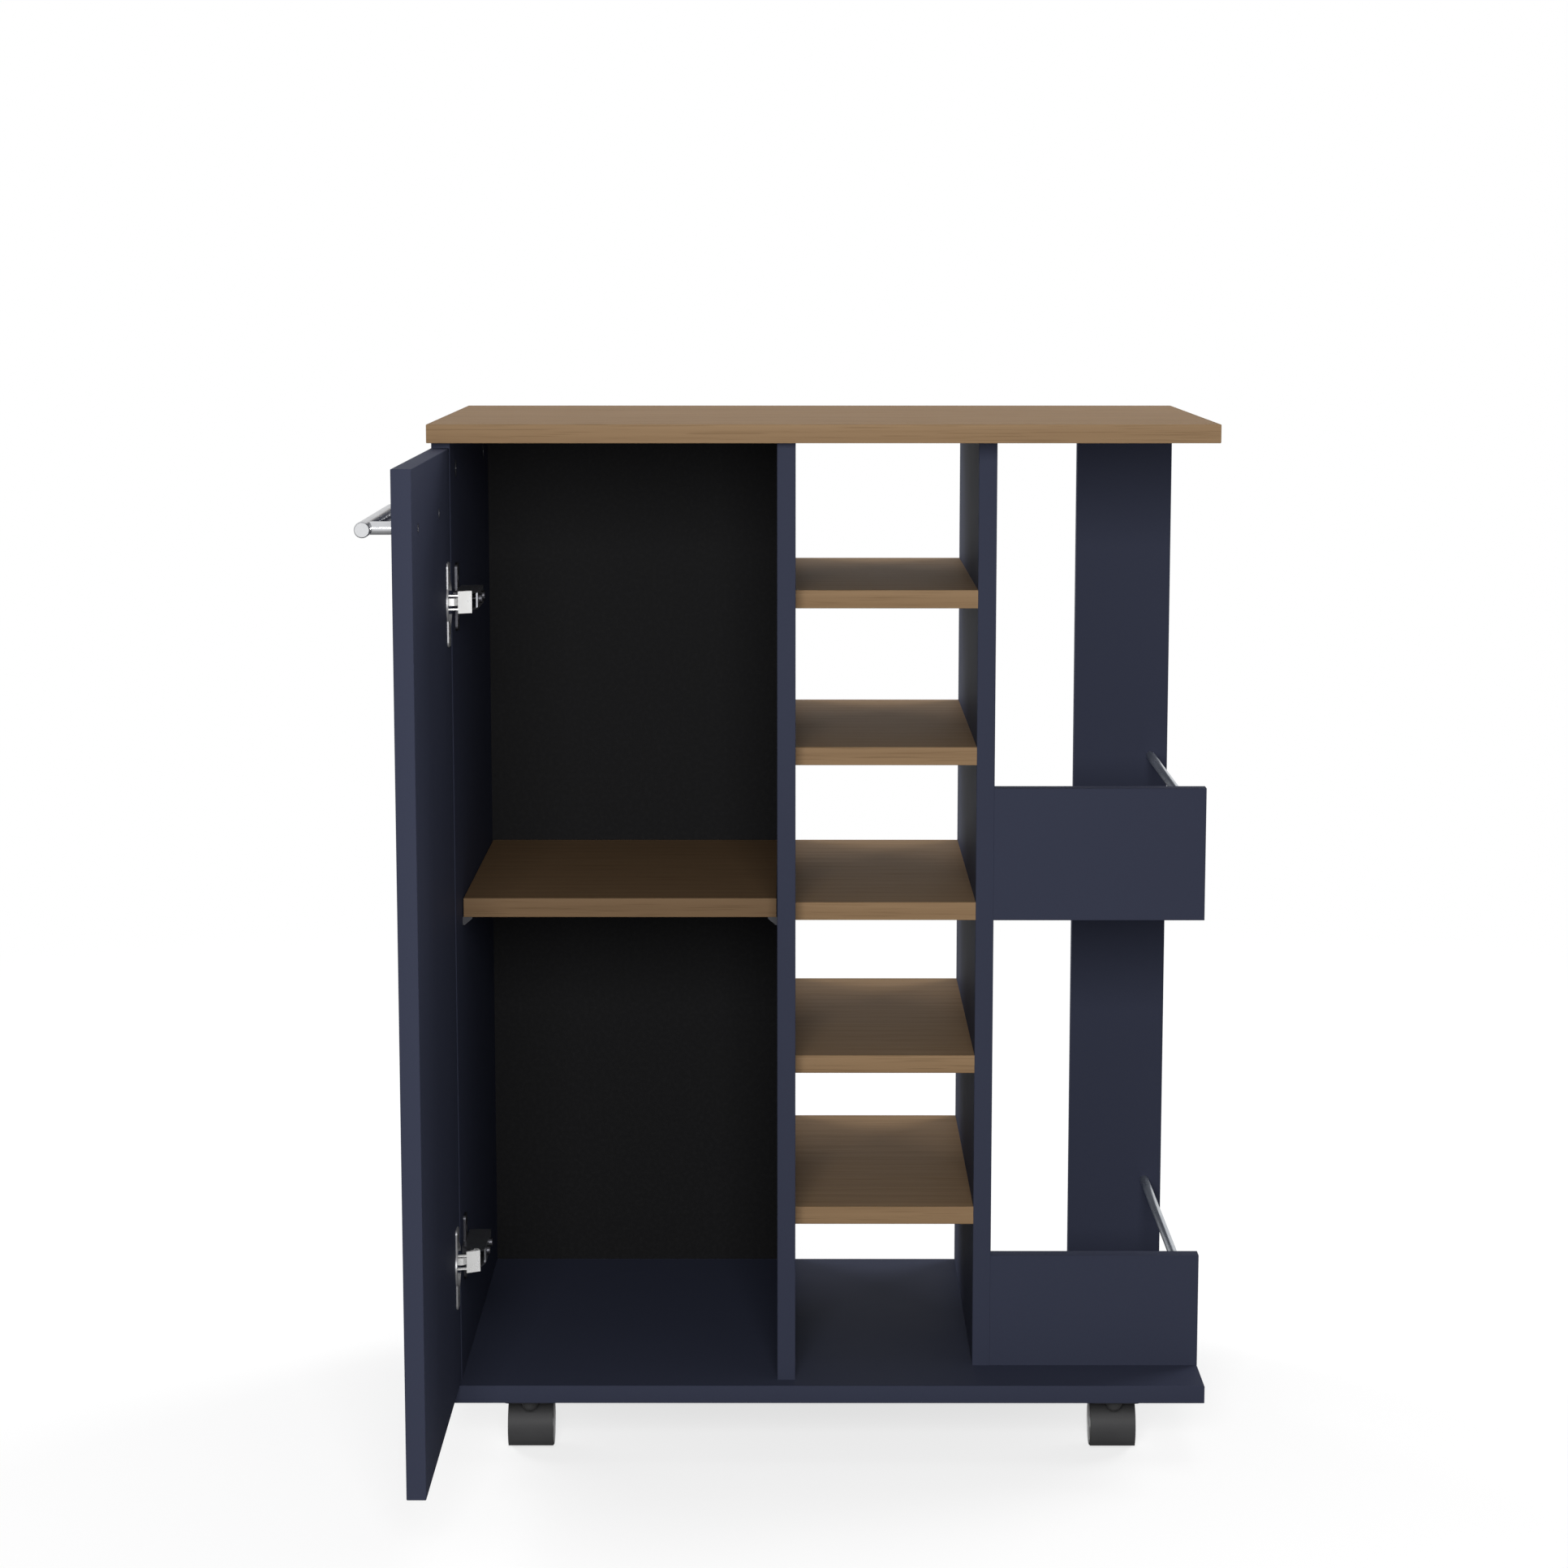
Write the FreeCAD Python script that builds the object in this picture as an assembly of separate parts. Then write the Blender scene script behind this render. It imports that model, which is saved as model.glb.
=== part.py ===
import FreeCAD
import Part

import math
import os

# Rolling bar cabinet: a door bay, a rack of cubbies and two open trays between a
# base and a top panel, on four swivelling twin-wheel casters.
# Millimetres. X runs to the right, Y to the back and Z up. The origin lies on
# the floor under the middle of the base. The door is modelled open by a right
# angle, square to the front of the cabinet.

# Overall sizes
CABINET_WIDTH = 640.0
CABINET_DEPTH = 385.0
CLEAR_HEIGHT = 787.0
BOARD = 15.0
CASTER_HEIGHT = 53.0

# Carcass
END_REVEAL = 2.0
RACK_WIDTH = 151.0
TRAY_WIDTH = 176.5
RACK_SETBACK = 57.0
RACK_SHELF_COUNT = 5
UPRIGHT_COUNT = 3
END_CUBBY_HEIGHT = 124.0
TRAY_SHELF_COUNT = 3
TRAY_RISE = 96.0
POST_WIDTH = 85.0
BACK_PANEL_THICKNESS = 3.0
BACK_PANEL_INSET = 2.0

# Loose shelf of the door bay
SHELF_THICKNESS = 16.0
SHELF_SETBACK = 76.0
SHELF_SIDE_GAP = 1.0
SHELF_BACK_GAP = 1.0

# Door
DOOR_THICKNESS = 15.0
DOOR_GAP = 2.0
DOOR_BOTTOM_GAP = 2.0
DOOR_TOP_GAP = 5.0
DOOR_REVEAL = 1.0

# Tray rails
RAIL_RADIUS = 4.0
RAIL_DROP = 15.0
RAIL_INSET = 15.0
RAIL_SEAT = 8.0

# Door handle, a bar on two posts
HANDLE_BAR_RADIUS = 6.0
HANDLE_BAR_LENGTH = 200.0
HANDLE_POST_RADIUS = 5.0
HANDLE_POST_SPACING = 160.0
HANDLE_STANDOFF = 24.5
HANDLE_FREE_END_SHARE = 0.27
HANDLE_DROP = 46.0
HANDLE_SCREW_RADIUS = 2.0
HANDLE_SCREW_HEAD_RADIUS = 4.0
HANDLE_SCREW_GRIP = 9.0
HANDLE_CHAMFER = 0.8

# Clearances and the overrun of every cut
FIT = 0.05
END_PLAY = 0.5
OVERRUN = 1.0

# Wooden dowels
DOWEL_RADIUS = 4.0
DOWEL_IN_FACE = 9.0
DOWEL_IN_END = 19.0

# Cam locks and their bolts
CAM_RADIUS = 7.4
CAM_HEIGHT = 12.0
CAM_BORE_RADIUS = 7.5
CAM_BORE_DEPTH = 12.5
CAM_DISTANCE = 24.0
CAM_SLOT_WIDTH = 1.4
CAM_SLOT_LENGTH = 9.0
CAM_SLOT_DEPTH = 2.0
CAM_MOUTH_RADIUS = 3.4
BOLT_THREAD_RADIUS = 2.5
BOLT_THREAD_LENGTH = 9.0
BOLT_STEM_RADIUS = 3.0
BOLT_NECK_RADIUS = 1.8
BOLT_NECK_LENGTH = 2.5
BOLT_HEAD_LENGTH = 3.0

# Countersunk board screws
BOARD_SCREW_RADIUS = 2.5
BOARD_SCREW_LENGTH = 48.0
BOARD_SCREW_HEAD_RADIUS = 4.8
BOARD_SCREW_HEAD_HEIGHT = 4.0
BOARD_SCREW_POINT = 4.0

# Places of the board joints
JOINT_INSET = 50.0
DOWEL_PITCH = 32.0
POST_DOWEL_INSET = 12.0
RACK_SCREW_INSET = 60.0
TRAY_CAM_INSET = 62.0
TRAY_FRONT_INSET = 45.0
TRAY_SCREW_INSET = 20.0
TRAY_DOWEL_DROP = 28.0

# Back panel nails
NAIL_RADIUS = 0.8
NAIL_LENGTH = 16.0
NAIL_HEAD_RADIUS = 2.4
NAIL_HEAD_HEIGHT = 0.8
NAIL_ROWS = 5
NAIL_COLUMNS = 2

# Shelf supports
SUPPORT_PIN_RADIUS = 2.5
SUPPORT_PIN_LENGTH = 8.0
SUPPORT_REACH = 8.0
SUPPORT_WIDTH = 10.0
SUPPORT_LEDGE = 1.6
SUPPORT_DROP = 7.0
SUPPORT_FRONT_INSET = 6.0
SUPPORT_REAR_INSET = 40.0

# Casters
WHEEL_RADIUS = 20.0
WHEEL_WIDTH = 16.5
WHEEL_CHAMFER = 1.0
CAP_RADIUS = 17.8
CAP_THICKNESS = 2.0
CAP_SINK = 0.4
CAP_LIP = 0.6
CAP_DISH_RADIUS = 15.4
CAP_DISH_DEPTH = 0.7
HUB_RADIUS = 4.6
HUB_WALL = 1.6
AXLE_RADIUS = 3.0
WEB_THICKNESS = 4.0
WEB_RADIUS = 19.0
WHEEL_SIDE_GAP = 0.5
FENDER_GAP = 0.8
FENDER_THICKNESS = 1.7
FENDER_LOW_ANGLE = -44.0
FENDER_REAR_ANGLE = 150.0
STEM_OFFSET = 23.5
STEM_RADIUS = 7.0
STEM_ROUND_DROP = 5.5
NECK_HALF_WIDTH = 5.5
NECK_LENGTH = 16.0
NECK_DROP = 9.0
KING_PIN_RADIUS = 4.0
KING_PIN_LENGTH = 8.0
PLATE_SIZE = 42.0
PLATE_THICKNESS = 2.5
PLATE_CORNER = 5.0
PLATE_SCREW_INSET = 6.5
PLATE_GAP = 0.3
CASTER_X_INSET = 73.0
CASTER_Y_INSET = 27.0
CASTER_SCREW_RADIUS = 1.8
CASTER_SCREW_LENGTH = 13.0
CASTER_SCREW_HEAD_RADIUS = 3.4
CASTER_SCREW_HEAD_HEIGHT = 1.8
CASTER_SCREW_POINT = 2.0

# Door hinges. Places across a hinge are given as (from the outer face of the
# side panel, from the front edge of the side panel), with the door open.
HINGE_LOW_INSET = 106.0
HINGE_HIGH_INSET = 129.0
SWING_POLE_INSET = 5.2
ARM_PIN = (29.0, -7.0)
GUIDE_PIN = (27.6, -0.2)
CUP_GUIDE_PIN = (8.7, -12.8)
CUP_PIN_THROW = 7.4
GUIDE_KNEE = (17.6, -12.4)
HINGE_PIN_RADIUS = 1.0
ARM_PIN_RADIUS = 1.2
OPEN_PIVOT_PLAY = 0.12
CUP_RADIUS = 17.4
CUP_BORE_RADIUS = 17.5
CUP_BORE_DEPTH = 11.5
CUP_DEPTH = 11.3
CUP_WALL = 1.0
CUP_EDGE = 3.0
CUP_MOUTH_HALF = 9.6
CUP_MOUTH_DEPTH = 9.4
FLANGE_THICKNESS = 1.3
FLANGE_RADIUS = 19.5
FLANGE_LENGTH = 68.0
FLANGE_WIDTH = 18.0
FLANGE_OFFSET = 5.5
FLANGE_CORNER = 4.0
CUP_SCREW_SPACING = 52.0
PIN_BOSS = (6.6, 9.6)
PIN_BOSS_MARGIN = 2.3
CUP_PIN_SPAN = (4.7, 8.2)
ARM_LENGTH = 62.0
ARM_HALF_WIDTH = 7.4
ARM_WALL = 1.4
ARM_TOP = 35.5
ARM_FOOT = 17.3
ARM_SHOULDER = 8.0
ARM_NOSE_RADIUS = 2.7
LINK_HALF_WIDTH = 9.0
LINK_SHEET = 1.3
LINK_OFFSET = 3.2
LINK_PLATE_LENGTH = 10.5
LINK_PLATE_BACK = 1.5
LINK_EYE_RADIUS = 2.4
FORK_HALF_WIDTH = 6.2
FORK_EYE_RADIUS = 1.9
GUIDE_HALF_WIDTH = 3.0
GUIDE_THICKNESS = 2.4
GUIDE_EYE_WALL = 0.85
FOOT_THICKNESS = 2.0
FOOT_LENGTH = 56.0
FOOT_WIDTH = 15.0
FOOT_SCREW_SPACING = 32.0
FOOT_LINE = 37.0
FOOT_CORNER = 4.0
SADDLE_HALF_WIDTH = 5.7
SADDLE_TOP = 26.0
SADDLE_SPAN = (14.0, 57.0)
CLAMP_SCREW_AT = 47.0
SET_SCREW_AT = 22.0
CLAMP_SCREW_RADIUS = 2.0
CLAMP_HEAD_RADIUS = 4.0
CLAMP_HEAD_HEIGHT = 2.2
CLAMP_SCREW_GRIP = 8.0
HINGE_SCREW_RADIUS = 1.8
HINGE_SCREW_LENGTH = 13.0
HINGE_SCREW_HEAD_RADIUS = 3.4
HINGE_SCREW_HEAD_HEIGHT = 1.7
HINGE_SCREW_POINT = 2.0

# Levels and edges that follow
BASE_BOTTOM = CASTER_HEIGHT
BASE_TOP = BASE_BOTTOM + BOARD
TOP_BOTTOM = BASE_TOP + CLEAR_HEIGHT
TOP_TOP = TOP_BOTTOM + BOARD
LEFT_END = -CABINET_WIDTH / 2
RIGHT_END = CABINET_WIDTH / 2
FRONT_EDGE = -CABINET_DEPTH / 2
REAR_EDGE = CABINET_DEPTH / 2
CARCASS_FRONT = FRONT_EDGE + DOOR_THICKNESS + DOOR_GAP
RACK_FRONT = FRONT_EDGE + RACK_SETBACK
SIDE_LEFT = LEFT_END + END_REVEAL
SIDE_RIGHT = SIDE_LEFT + BOARD
LEFT_BAY_WIDTH = RIGHT_END - SIDE_LEFT - BOARD * UPRIGHT_COUNT - RACK_WIDTH - TRAY_WIDTH
PARTITION_LEFT = SIDE_RIGHT + LEFT_BAY_WIDTH
PARTITION_RIGHT = PARTITION_LEFT + BOARD
DIVIDER_LEFT = PARTITION_RIGHT + RACK_WIDTH
DIVIDER_RIGHT = DIVIDER_LEFT + BOARD
POST_LEFT = RIGHT_END - POST_WIDTH
POST_FRONT = REAR_EDGE - BOARD
TRAY_BACK_OF_FRONT = RACK_FRONT + BOARD
RACK_TOP_LEVEL = CLEAR_HEIGHT - END_CUBBY_HEIGHT
RACK_LOW_LEVEL = END_CUBBY_HEIGHT + BOARD
RACK_PITCH = (RACK_TOP_LEVEL - RACK_LOW_LEVEL) / (RACK_SHELF_COUNT - 1)
RACK_LEVELS = [BASE_TOP + RACK_LOW_LEVEL + RACK_PITCH * i for i in range(RACK_SHELF_COUNT)]
TRAY_TOP = RACK_LEVELS[TRAY_SHELF_COUNT - 1]
TRAY_BOTTOM = TRAY_TOP - BOARD
DOOR_WIDTH = PARTITION_RIGHT - DOOR_REVEAL - SIDE_LEFT
DOOR_BOTTOM = BASE_TOP + DOOR_BOTTOM_GAP
DOOR_TOP = TOP_BOTTOM - DOOR_TOP_GAP

# Swing of the door about its pole, which gives the open place of the door
SWING_POLE = (SWING_POLE_INSET, SWING_POLE_INSET - DOOR_THICKNESS - DOOR_GAP)
DOOR_EDGE = SWING_POLE[1] + SWING_POLE_INSET
DOOR_HINGE_END = CARCASS_FRONT + DOOR_EDGE
DOOR_FREE_END = DOOR_HINGE_END - DOOR_WIDTH
CUP_CENTRE = DOOR_EDGE - CUP_EDGE - CUP_BORE_RADIUS
HINGE_HEIGHTS = (BASE_TOP + HINGE_LOW_INSET, TOP_BOTTOM - HINGE_HIGH_INSET)
SCREW_LINE = CUP_CENTRE - FLANGE_OFFSET


def turned_point(point, centre, angle):
    """Return a hinge point turned about a centre by an angle in degrees."""
    cosine = math.cos(math.radians(angle))
    sine = math.sin(math.radians(angle))
    across = point[0] - centre[0]
    along = point[1] - centre[1]
    return (centre[0] + cosine * across - sine * along, centre[1] + sine * across + cosine * along)


def bearing(start, end):
    """Return the direction from one hinge point to another, in degrees."""
    return math.degrees(math.atan2(end[1] - start[1], end[0] - start[0]))


def distance(start, end):
    """Return the distance between two hinge points."""
    return math.hypot(end[0] - start[0], end[1] - start[1])


def cup_pin_place():
    """Return the cup pin, placed so that the link carries the door between both ends."""
    angle = math.radians(bearing(SWING_POLE, ARM_PIN) - DOOR_TURN_ANGLE / 2)
    return (SWING_POLE[0] + CUP_PIN_THROW * math.cos(angle), SWING_POLE[1] + CUP_PIN_THROW * math.sin(angle))


# Turn of the door from open to shut, and what its links do meanwhile
DOOR_TURN_ANGLE = 90.0
CUP_PIN = cup_pin_place()
CUP_PIN_SHUT = turned_point(CUP_PIN, SWING_POLE, DOOR_TURN_ANGLE)
LINK_TURN_ANGLE = bearing(ARM_PIN, CUP_PIN_SHUT) + math.degrees(math.tau) - bearing(ARM_PIN, CUP_PIN)
LINK_TURN_ANGLE = (LINK_TURN_ANGLE + math.degrees(math.pi)) % math.degrees(math.tau) - math.degrees(math.pi)
CUP_GUIDE_SHUT = turned_point(CUP_GUIDE_PIN, SWING_POLE, DOOR_TURN_ANGLE)
GUIDE_TURN_ANGLE = bearing(CUP_GUIDE_SHUT, GUIDE_PIN) - bearing(CUP_GUIDE_PIN, GUIDE_PIN)
HALF_SWING_SHARE = 0.5


def guide_wander():
    """Return how far the arm end of the inner link strays from its pin at half swing."""
    cup_end = turned_point(CUP_GUIDE_PIN, CUP_PIN, (DOOR_TURN_ANGLE - LINK_TURN_ANGLE) * HALF_SWING_SHARE)
    cup_end = turned_point(cup_end, ARM_PIN, LINK_TURN_ANGLE * HALF_SWING_SHARE)
    reach = (GUIDE_PIN[0] - CUP_GUIDE_PIN[0], GUIDE_PIN[1] - CUP_GUIDE_PIN[1])
    reached = (cup_end[0] + reach[0], cup_end[1] + reach[1])
    arm_end = turned_point(reached, cup_end, GUIDE_TURN_ANGLE * HALF_SWING_SHARE)
    return (arm_end[0] - GUIDE_PIN[0], arm_end[1] - GUIDE_PIN[1])


# The open pivot: its eye is set off the pin by half of that, the other way
WANDER = guide_wander()
GUIDE_EYE = (GUIDE_PIN[0] - WANDER[0] / 2, GUIDE_PIN[1] - WANDER[1] / 2)
GUIDE_EYE_RADIUS = HINGE_PIN_RADIUS + math.hypot(*WANDER) / 2 + OPEN_PIVOT_PLAY

X_AXIS = FreeCAD.Vector(1, 0, 0)
Y_AXIS = FreeCAD.Vector(0, 1, 0)
Z_AXIS = FreeCAD.Vector(0, 0, 1)


def place(x, y, z):
    """Return a point of the cabinet."""
    return FreeCAD.Vector(x, y, z)


def block(x_span, y_span, z_span):
    """Return a rectangular solid between three pairs of limits."""
    corner = place(x_span[0], y_span[0], z_span[0])
    return Part.makeBox(x_span[1] - x_span[0], y_span[1] - y_span[0], z_span[1] - z_span[0], corner)


def rod(start, direction, length, radius):
    """Return a round bar from a start point along a direction."""
    return Part.makeCylinder(radius, length, start, direction)


def lathe(outline, start, direction):
    """Return a turned solid whose outline lists (distance along the axis, radius)."""
    points = [place(radius, 0, along) for along, radius in outline]
    if outline[0][1] > 0:
        points.insert(0, place(0, 0, outline[0][0]))
    if outline[-1][1] > 0:
        points.append(place(0, 0, outline[-1][0]))
    face = Part.Face(Part.makePolygon(points + [points[0]]))
    solid = face.revolve(place(0, 0, 0), Z_AXIS, math.degrees(math.tau))
    solid.Placement = FreeCAD.Placement(start, FreeCAD.Rotation(Z_AXIS, direction))
    return solid


def prism(points, span):
    """Return an upright prism over an outline in X and Y, between two heights."""
    corners = [place(x, y, span[0]) for x, y in points]
    face = Part.Face(Part.makePolygon(corners + [corners[0]]))
    return face.extrude(place(0, 0, span[1] - span[0]))


def rounded_block(x_span, y_span, z_span, direction, radius):
    """Return a block whose four edges along a direction are rounded."""
    solid = block(x_span, y_span, z_span)
    edges = [edge for edge in solid.Edges if abs(edge.tangentAt(edge.FirstParameter).dot(direction)) > 0.5]
    return solid.makeFillet(radius, edges)


def drilled(solid, cutters):
    """Return the solid less each cutter whose box meets it."""
    near = [cutter for cutter in cutters if cutter.BoundBox.intersect(solid.BoundBox)]
    return solid.cut(near) if near else solid


def export(name, solids):
    """Write the solids of one sub-part to its file."""
    shape = solids[0] if len(solids) == 1 else Part.makeCompound(solids)
    shape.exportStep(os.path.join("parts", name + ".step"))


def screw_outline(radius, length, head_radius, head_height, point, spare=0.0, play=0.0):
    """Return the outline of a countersunk screw, or of its hole with a spare and an end play."""
    return [
        (0, head_radius + spare),
        (head_height, radius + spare),
        (length - point + play, radius + spare),
        (length + play, 0),
    ]


class Joinery:
    """Collects the fasteners of the carcass and the holes that they need."""

    def __init__(self):
        self.dowels = []
        self.cams = []
        self.bolts = []
        self.screws = []
        self.nails = []
        self.holes = []

    def dowel(self, face_point, into):
        """Add a dowel across a joint, from the face board into the end of the other."""
        start = face_point - into * DOWEL_IN_FACE
        length = DOWEL_IN_FACE + DOWEL_IN_END
        self.dowels.append(rod(start, into, length, DOWEL_RADIUS))
        self.holes.append(rod(start - into * END_PLAY, into, length + END_PLAY * 2, DOWEL_RADIUS + FIT))

    def cam(self, face_point, into, facing):
        """Add a cam lock: a bolt in the face board and its cam in the end of the other."""
        head_end = BOLT_THREAD_LENGTH + CAM_DISTANCE + BOLT_HEAD_LENGTH / 2
        neck_end = head_end - BOLT_HEAD_LENGTH
        neck_start = neck_end - BOLT_NECK_LENGTH
        outline = [
            (0, BOLT_THREAD_RADIUS),
            (BOLT_THREAD_LENGTH, BOLT_THREAD_RADIUS),
            (BOLT_THREAD_LENGTH, BOLT_STEM_RADIUS),
            (neck_start, BOLT_STEM_RADIUS),
            (neck_start, BOLT_NECK_RADIUS),
            (neck_end, BOLT_NECK_RADIUS),
            (neck_end, BOLT_STEM_RADIUS),
            (head_end, BOLT_STEM_RADIUS),
        ]
        thread_start = face_point - into * BOLT_THREAD_LENGTH
        self.bolts.append(lathe(outline, thread_start, into))
        centre = face_point + into * CAM_DISTANCE
        face_centre = centre + facing * (BOARD / 2)
        body = rod(face_centre, facing * -1, CAM_HEIGHT, CAM_RADIUS)
        mouth = rod(centre, into * -1, CAM_RADIUS + OVERRUN, CAM_MOUTH_RADIUS)
        well = rod(centre - into * CAM_MOUTH_RADIUS, into, CAM_MOUTH_RADIUS * 2, CAM_MOUTH_RADIUS)
        across = into.cross(facing)
        slots = [self.slot(face_centre, facing, way) for way in (into, across)]
        self.cams.append(body.cut([mouth, well] + slots))
        self.holes.append(rod(face_point, into, CAM_DISTANCE, BOLT_STEM_RADIUS + FIT))
        self.holes.append(rod(thread_start - into * END_PLAY, into, BOLT_THREAD_LENGTH + END_PLAY,
                              BOLT_THREAD_RADIUS + FIT))
        mouth_end = face_centre + facing * OVERRUN
        self.holes.append(rod(mouth_end, facing * -1, CAM_BORE_DEPTH + OVERRUN, CAM_BORE_RADIUS))

    def slot(self, face_centre, facing, way):
        """Return one bar of the cross cut in the face of a cam."""
        side = way.cross(facing)
        reach = way * (CAM_SLOT_LENGTH / 2) + side * (CAM_SLOT_WIDTH / 2)
        low = face_centre - reach - facing * CAM_SLOT_DEPTH
        high = face_centre + reach + facing * OVERRUN
        spans = [sorted(pair) for pair in zip(low, high)]
        return block(*spans)

    def screw(self, head_point, into):
        """Add a countersunk screw whose head is flush with the outer face."""
        sizes = (BOARD_SCREW_RADIUS, BOARD_SCREW_LENGTH, BOARD_SCREW_HEAD_RADIUS, BOARD_SCREW_HEAD_HEIGHT,
                 BOARD_SCREW_POINT)
        self.screws.append(lathe(screw_outline(*sizes), head_point, into))
        self.holes.append(lathe(screw_outline(*sizes, FIT, END_PLAY), head_point, into))

    def nail(self, panel_point, into):
        """Add a nail through the back panel."""
        outline = [
            (0, NAIL_HEAD_RADIUS),
            (NAIL_HEAD_HEIGHT, NAIL_HEAD_RADIUS),
            (NAIL_HEAD_HEIGHT, NAIL_RADIUS),
            (NAIL_LENGTH, NAIL_RADIUS),
        ]
        self.nails.append(lathe(outline, panel_point - into * NAIL_HEAD_HEIGHT, into))
        self.holes.append(rod(panel_point, into, NAIL_LENGTH + END_PLAY, NAIL_RADIUS + FIT))


def join_uprights(joinery):
    """Fasten the side, the two partitions and the post between the base and the top."""
    uprights = [
        (SIDE_LEFT + BOARD / 2, CARCASS_FRONT, X_AXIS),
        (PARTITION_LEFT + BOARD / 2, CARCASS_FRONT, X_AXIS * -1),
        (DIVIDER_LEFT + BOARD / 2, RACK_FRONT, X_AXIS),
    ]
    for x, front, facing in uprights:
        for y, back in ((front + JOINT_INSET, 1), (REAR_EDGE - JOINT_INSET, -1)):
            joinery.cam(place(x, y, TOP_BOTTOM), Z_AXIS * -1, facing)
            joinery.screw(place(x, y, BASE_BOTTOM), Z_AXIS)
            joinery.dowel(place(x, y + back * DOWEL_PITCH, TOP_BOTTOM), Z_AXIS * -1)
            joinery.dowel(place(x, y + back * DOWEL_PITCH, BASE_TOP), Z_AXIS)
    post_x = POST_LEFT + POST_WIDTH / 2
    post_y = POST_FRONT + BOARD / 2
    joinery.cam(place(post_x, post_y, TOP_BOTTOM), Z_AXIS * -1, Y_AXIS)
    joinery.screw(place(post_x, post_y, BASE_BOTTOM), Z_AXIS)
    for x in (POST_LEFT + POST_DOWEL_INSET, RIGHT_END - POST_DOWEL_INSET):
        joinery.dowel(place(x, post_y, TOP_BOTTOM), Z_AXIS * -1)
        joinery.dowel(place(x, post_y, BASE_TOP), Z_AXIS)


def join_rack(joinery):
    """Screw the rack shelves between the two partitions."""
    for level in RACK_LEVELS:
        z = level - BOARD / 2
        for y in (RACK_FRONT + RACK_SCREW_INSET, REAR_EDGE - RACK_SCREW_INSET):
            joinery.screw(place(PARTITION_LEFT, y, z), X_AXIS)
            joinery.screw(place(DIVIDER_RIGHT, y, z), X_AXIS * -1)


def join_trays(joinery):
    """Fasten the tray floor and the two tray fronts."""
    floor_z = TRAY_TOP - BOARD / 2
    down = Z_AXIS * -1
    for y, back in ((TRAY_BACK_OF_FRONT + TRAY_CAM_INSET, 1), (POST_FRONT - TRAY_CAM_INSET, -1)):
        joinery.cam(place(DIVIDER_RIGHT, y + back * DOWEL_PITCH, floor_z), X_AXIS, down)
        joinery.dowel(place(DIVIDER_RIGHT, y, floor_z), X_AXIS)
    front_y = RACK_FRONT + BOARD / 2
    for x in (DIVIDER_RIGHT + TRAY_FRONT_INSET, RIGHT_END - TRAY_FRONT_INSET):
        joinery.cam(place(x, TRAY_BACK_OF_FRONT, floor_z), Y_AXIS, down)
        joinery.screw(place(x, front_y, BASE_BOTTOM), Z_AXIS)
    for x in (POST_LEFT + TRAY_SCREW_INSET, RIGHT_END - TRAY_SCREW_INSET):
        joinery.screw(place(x, REAR_EDGE, floor_z), Y_AXIS * -1)
    for top in (TRAY_TOP + TRAY_RISE, BASE_TOP + TRAY_RISE):
        joinery.dowel(place(DIVIDER_RIGHT, front_y, top - TRAY_DOWEL_DROP), X_AXIS)


def join_back_panel(joinery):
    """Nail the back panel to the side, the partition, the base and the top."""
    panel_y = REAR_EDGE + BACK_PANEL_THICKNESS
    for x in (SIDE_LEFT + BOARD / 2, PARTITION_LEFT + BOARD / 2):
        for row in range(NAIL_ROWS):
            z = BASE_TOP + CLEAR_HEIGHT * (row + 0.5) / NAIL_ROWS
            joinery.nail(place(x, panel_y, z), Y_AXIS * -1)
    for column in range(NAIL_COLUMNS):
        x = SIDE_RIGHT + LEFT_BAY_WIDTH * (column + 0.5) / NAIL_COLUMNS
        joinery.nail(place(x, panel_y, BASE_BOTTOM + BOARD / 2), Y_AXIS * -1)
        joinery.nail(place(x, panel_y, TOP_BOTTOM + BOARD / 2), Y_AXIS * -1)


def rail_places():
    """Return the height of the upper and the lower tray rail."""
    return (TRAY_TOP + TRAY_RISE - RAIL_DROP, BASE_TOP + TRAY_RISE - RAIL_DROP)


def rail(z, spare=0.0):
    """Return one tray rail, seated in the tray front and the post."""
    start = TRAY_BACK_OF_FRONT - RAIL_SEAT
    length = POST_FRONT + RAIL_SEAT - start
    return rod(place(RIGHT_END - RAIL_INSET, start, z), Y_AXIS, length, RAIL_RADIUS + spare)


def support_places():
    """Return (inner face, direction into the bay, y) of each shelf support."""
    faces = ((SIDE_RIGHT, 1), (PARTITION_LEFT, -1))
    front = FRONT_EDGE + SHELF_SETBACK + SUPPORT_FRONT_INSET
    rear = REAR_EDGE - SHELF_BACK_GAP - SUPPORT_REAR_INSET
    return [(x, way, y) for x, way in faces for y in (front, rear)]


def shelf_support(x, way, y):
    """Return a shelf support: a pin, a ledge and a gusset under it."""
    top = TRAY_TOP - SHELF_THICKNESS
    outline = [(x, top), (x + way * SUPPORT_REACH, top), (x + way * SUPPORT_REACH, top - SUPPORT_LEDGE),
               (x + way * SUPPORT_LEDGE, top - SUPPORT_DROP), (x, top - SUPPORT_DROP)]
    corners = [place(px, y - SUPPORT_WIDTH / 2, pz) for px, pz in outline]
    body = Part.Face(Part.makePolygon(corners + [corners[0]])).extrude(Y_AXIS * SUPPORT_WIDTH)
    pin = rod(place(x, y, top - SUPPORT_DROP / 2), X_AXIS * -way, SUPPORT_PIN_LENGTH, SUPPORT_PIN_RADIUS)
    return body.fuse(pin).removeSplitter()


def support_hole(x, way, y):
    """Return the hole for the pin of a shelf support."""
    start = place(x, y, TRAY_TOP - SHELF_THICKNESS - SUPPORT_DROP / 2)
    return rod(start, X_AXIS * -way, SUPPORT_PIN_LENGTH + END_PLAY, SUPPORT_PIN_RADIUS + FIT)


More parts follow.
